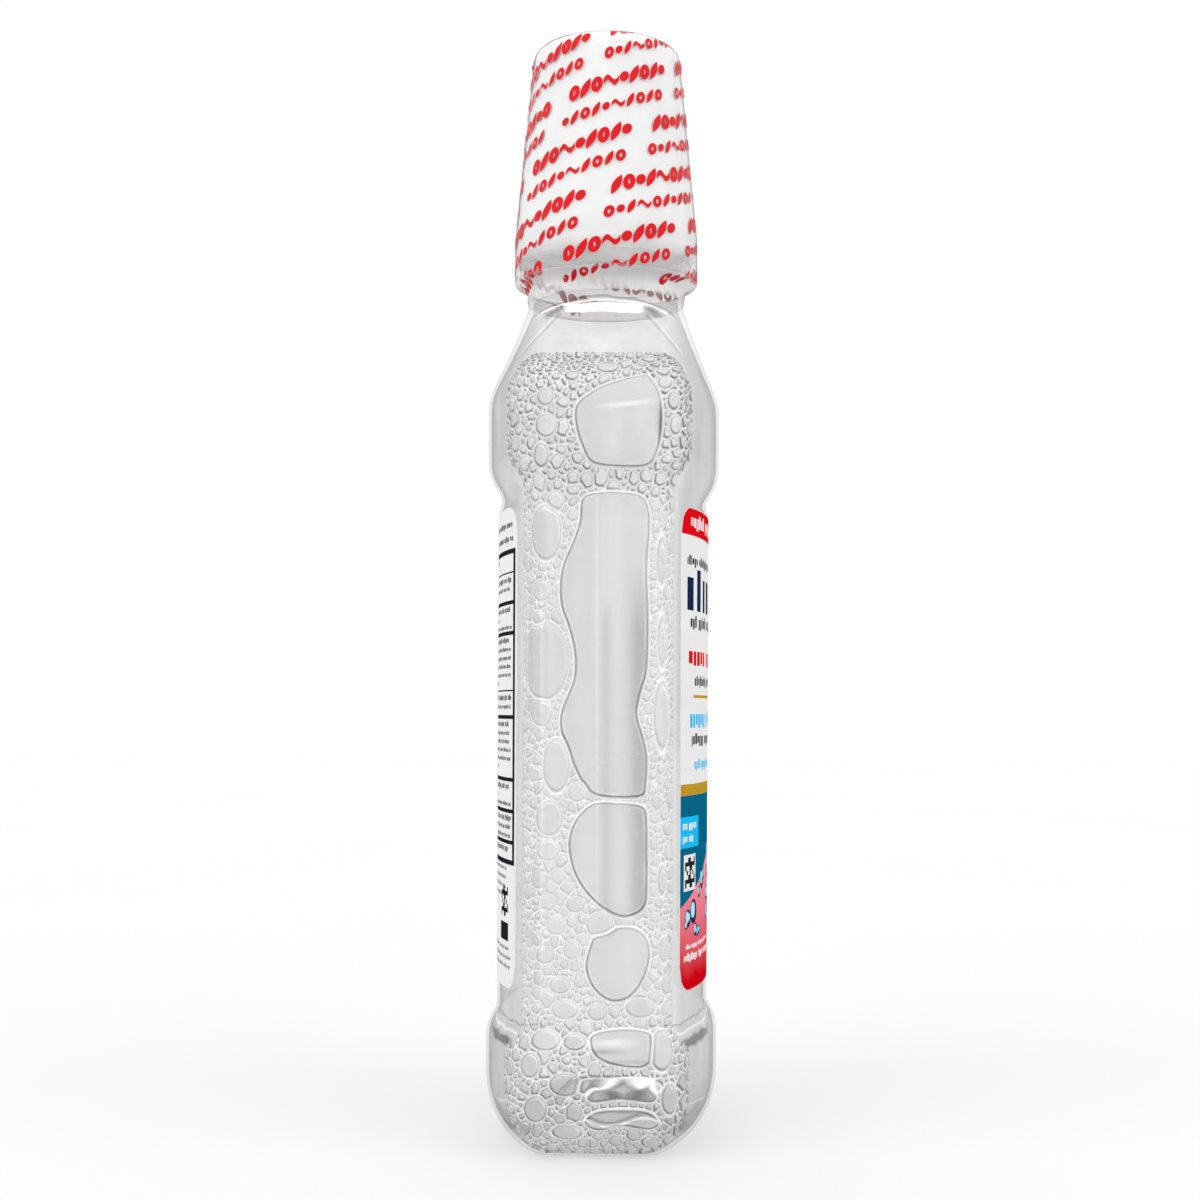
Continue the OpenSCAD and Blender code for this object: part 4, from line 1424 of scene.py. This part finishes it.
def make_floor():
    """A pale floor that meets the white background, with the object's shadow on it."""
    mat, nt, out = new_material("floor")
    colour = blend_colour(nt, noise(nt, coordinates(nt), 3.0, 2.0), grey(FLOOR_ALBEDO - 0.005),
                          grey(FLOOR_ALBEDO + 0.005))
    lit = shader(nt, "BsdfDiffuse", Color=colour)
    seen = any_ray(nt, "Is Camera Ray", "Is Glossy Ray", "Is Transmission Ray")
    glow = shader(nt, "Emission", Color=grey(1), Strength=times(nt, seen, FLOOR_GLOW))
    nt.links.new(node(nt, "AddShader", {0: lit, 1: glow}).outputs[0], out.inputs[0])
    size = FLOOR_HALF
    points = [(-size, -size, 0), (size, -size, 0), (size, size, 0), (-size, size, 0)]
    mesh_piece("floor", points, [(0, 1, 2, 3)], [mat])


def make_lights():
    """A white studio and three soft lamps."""
    world = bpy.data.worlds.new("studio")
    bpy.context.scene.world = world
    world.use_nodes = True
    nt = world.node_tree
    nt.nodes.clear()
    out = nt.nodes.new("ShaderNodeOutputWorld")
    parts = node(nt, "SeparateXYZ", {0: node(nt, "TexCoord").outputs["Generated"]}).outputs
    # Four dark upright cards stand in the corners of the white studio for gloss to show
    turn = times(nt, times(nt, parts[0], parts[1]), 2.0)
    card = map_range(nt, math_node(nt, "ABSOLUTE", turn), 0.82, 0.98, 1.0, 0.35)
    light, studio, white = (shader(nt, "Background", Color=grey(1), Strength=strength)
                            for strength in (WORLD_LIGHT, card, 1.0))
    seen = layered(nt, any_ray(nt, "Is Glossy Ray", "Is Transmission Ray"), light, studio)
    nt.links.new(layered(nt, any_ray(nt, "Is Camera Ray"), seen, white), out.inputs[0])
    for name, azimuth, height, strength in LAMPS:
        data = bpy.data.lights.new(name, "SUN")
        data.angle = math.radians(LAMP_SOFTNESS)
        data.energy = strength
        lamp = bpy.data.objects.new(name, data)
        tilt = Matrix.Rotation(math.radians(90 - height), 4, "X")
        lamp.matrix_world = Matrix.Rotation(math.radians(azimuth), 4, "Z") @ tilt
        lamp.visible_glossy = False
        bpy.context.scene.collection.objects.link(lamp)


# Assembly

# Heights in metres over which the cap turns from clear, where it is wet, to milky
CAP_CLEAR_Z, CAP_MILKY_Z = 0.1835, 0.1868


def cap_material():
    """Milky plastic that lets some of what is behind it through, more so round the wet neck."""
    mat, nt, out = new_material("milky_plastic")
    streak = map_range(nt, noise(nt, object_place(nt, (1, 1, 0.08)), 260.0), 0.35, 0.65)
    colour = blend_colour(nt, streak, grey(0.94), grey(0.98))
    body = shader(nt, "BsdfPrincipled", Base_Color=colour, Roughness=0.4, Subsurface_Weight=0.3,
                  Subsurface_Radius=(0.004, 0.004, 0.004), Subsurface_Scale=1.0)
    body = layered(nt, 0.3, body, shader(nt, "BsdfTranslucent", Color=colour))
    height = node(nt, "SeparateXYZ", {0: coordinates(nt)}).outputs[2]
    share = map_range(nt, height, CAP_CLEAR_Z, CAP_MILKY_Z, 0.15, 0.94)
    surface = layered(nt, share, shader(nt, "BsdfTransparent", Color=grey(0.98)), body)
    nt.links.new(surface, out.inputs[0])
    return mat


def film_material(name, haze):
    # The light let through falls at the edges: painted shade
    return clear_material(name, ((0, 0.995), (0.75, 0.98), (1, 0.6)), 0.03, rough=0.1, bump=0.2,
                          bump_scale=260.0, stretch=(1, 1, 0.1), haze=haze)


def main():
    scene = bpy.context.scene
    scene.view_settings.view_transform = "Standard"
    scene.cycles.transparent_max_bounces = 48
    make_camera()
    make_floor()
    make_lights()
    # For each clear skin, the light let through falls towards the edges: painted shade
    shell = clear_material("clear_plastic", ((0, 0.985), (0.8, 0.975), (0.9, 0.9), (0.965, 0.86),
                                             (1, 0.5)), mirror=0.035, bump=0.02)
    wall = clear_material("clear_plastic_wet_side", ((0, 0.99), (0.85, 0.98), (1, 0.85)), 0.01,
                          0.05)
    make_bottle(shell, wall)
    make_liquid(clear_material(
        "mouthwash_liquid", ((0, 0.985), (0.6, 0.97), (0.85, 0.93), (1, 0.88)), 0.01, 0.05,
        streaks=0.05, lines=liquid_painted_light))
    make_foam(clear_material("foam_film", ((0, 0.985), (0.7, 0.96), (1, 0.7)), 0.03, rough=0.05,
                             lines=painted_light_attributes))
    make_cap(cap_material())
    make_sleeve(film_material("shrink_film", 0.0))
    make_hem(film_material("shrink_film_hem", 0.3))
    make_film_print(plastic_material("film_ink", rgb(200, 0, 15), 0.45, shine=0.2))
    slots = label_slots()
    make_front_label(slots)
    make_back_label(slots)
    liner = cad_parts["cap_liner"]
    liner.data.materials.clear()
    liner.data.materials.append(
        plastic_material("liner_foam", rgb(236, 236, 230), 0.7, 0.06, 900.0, 0.3))


main()
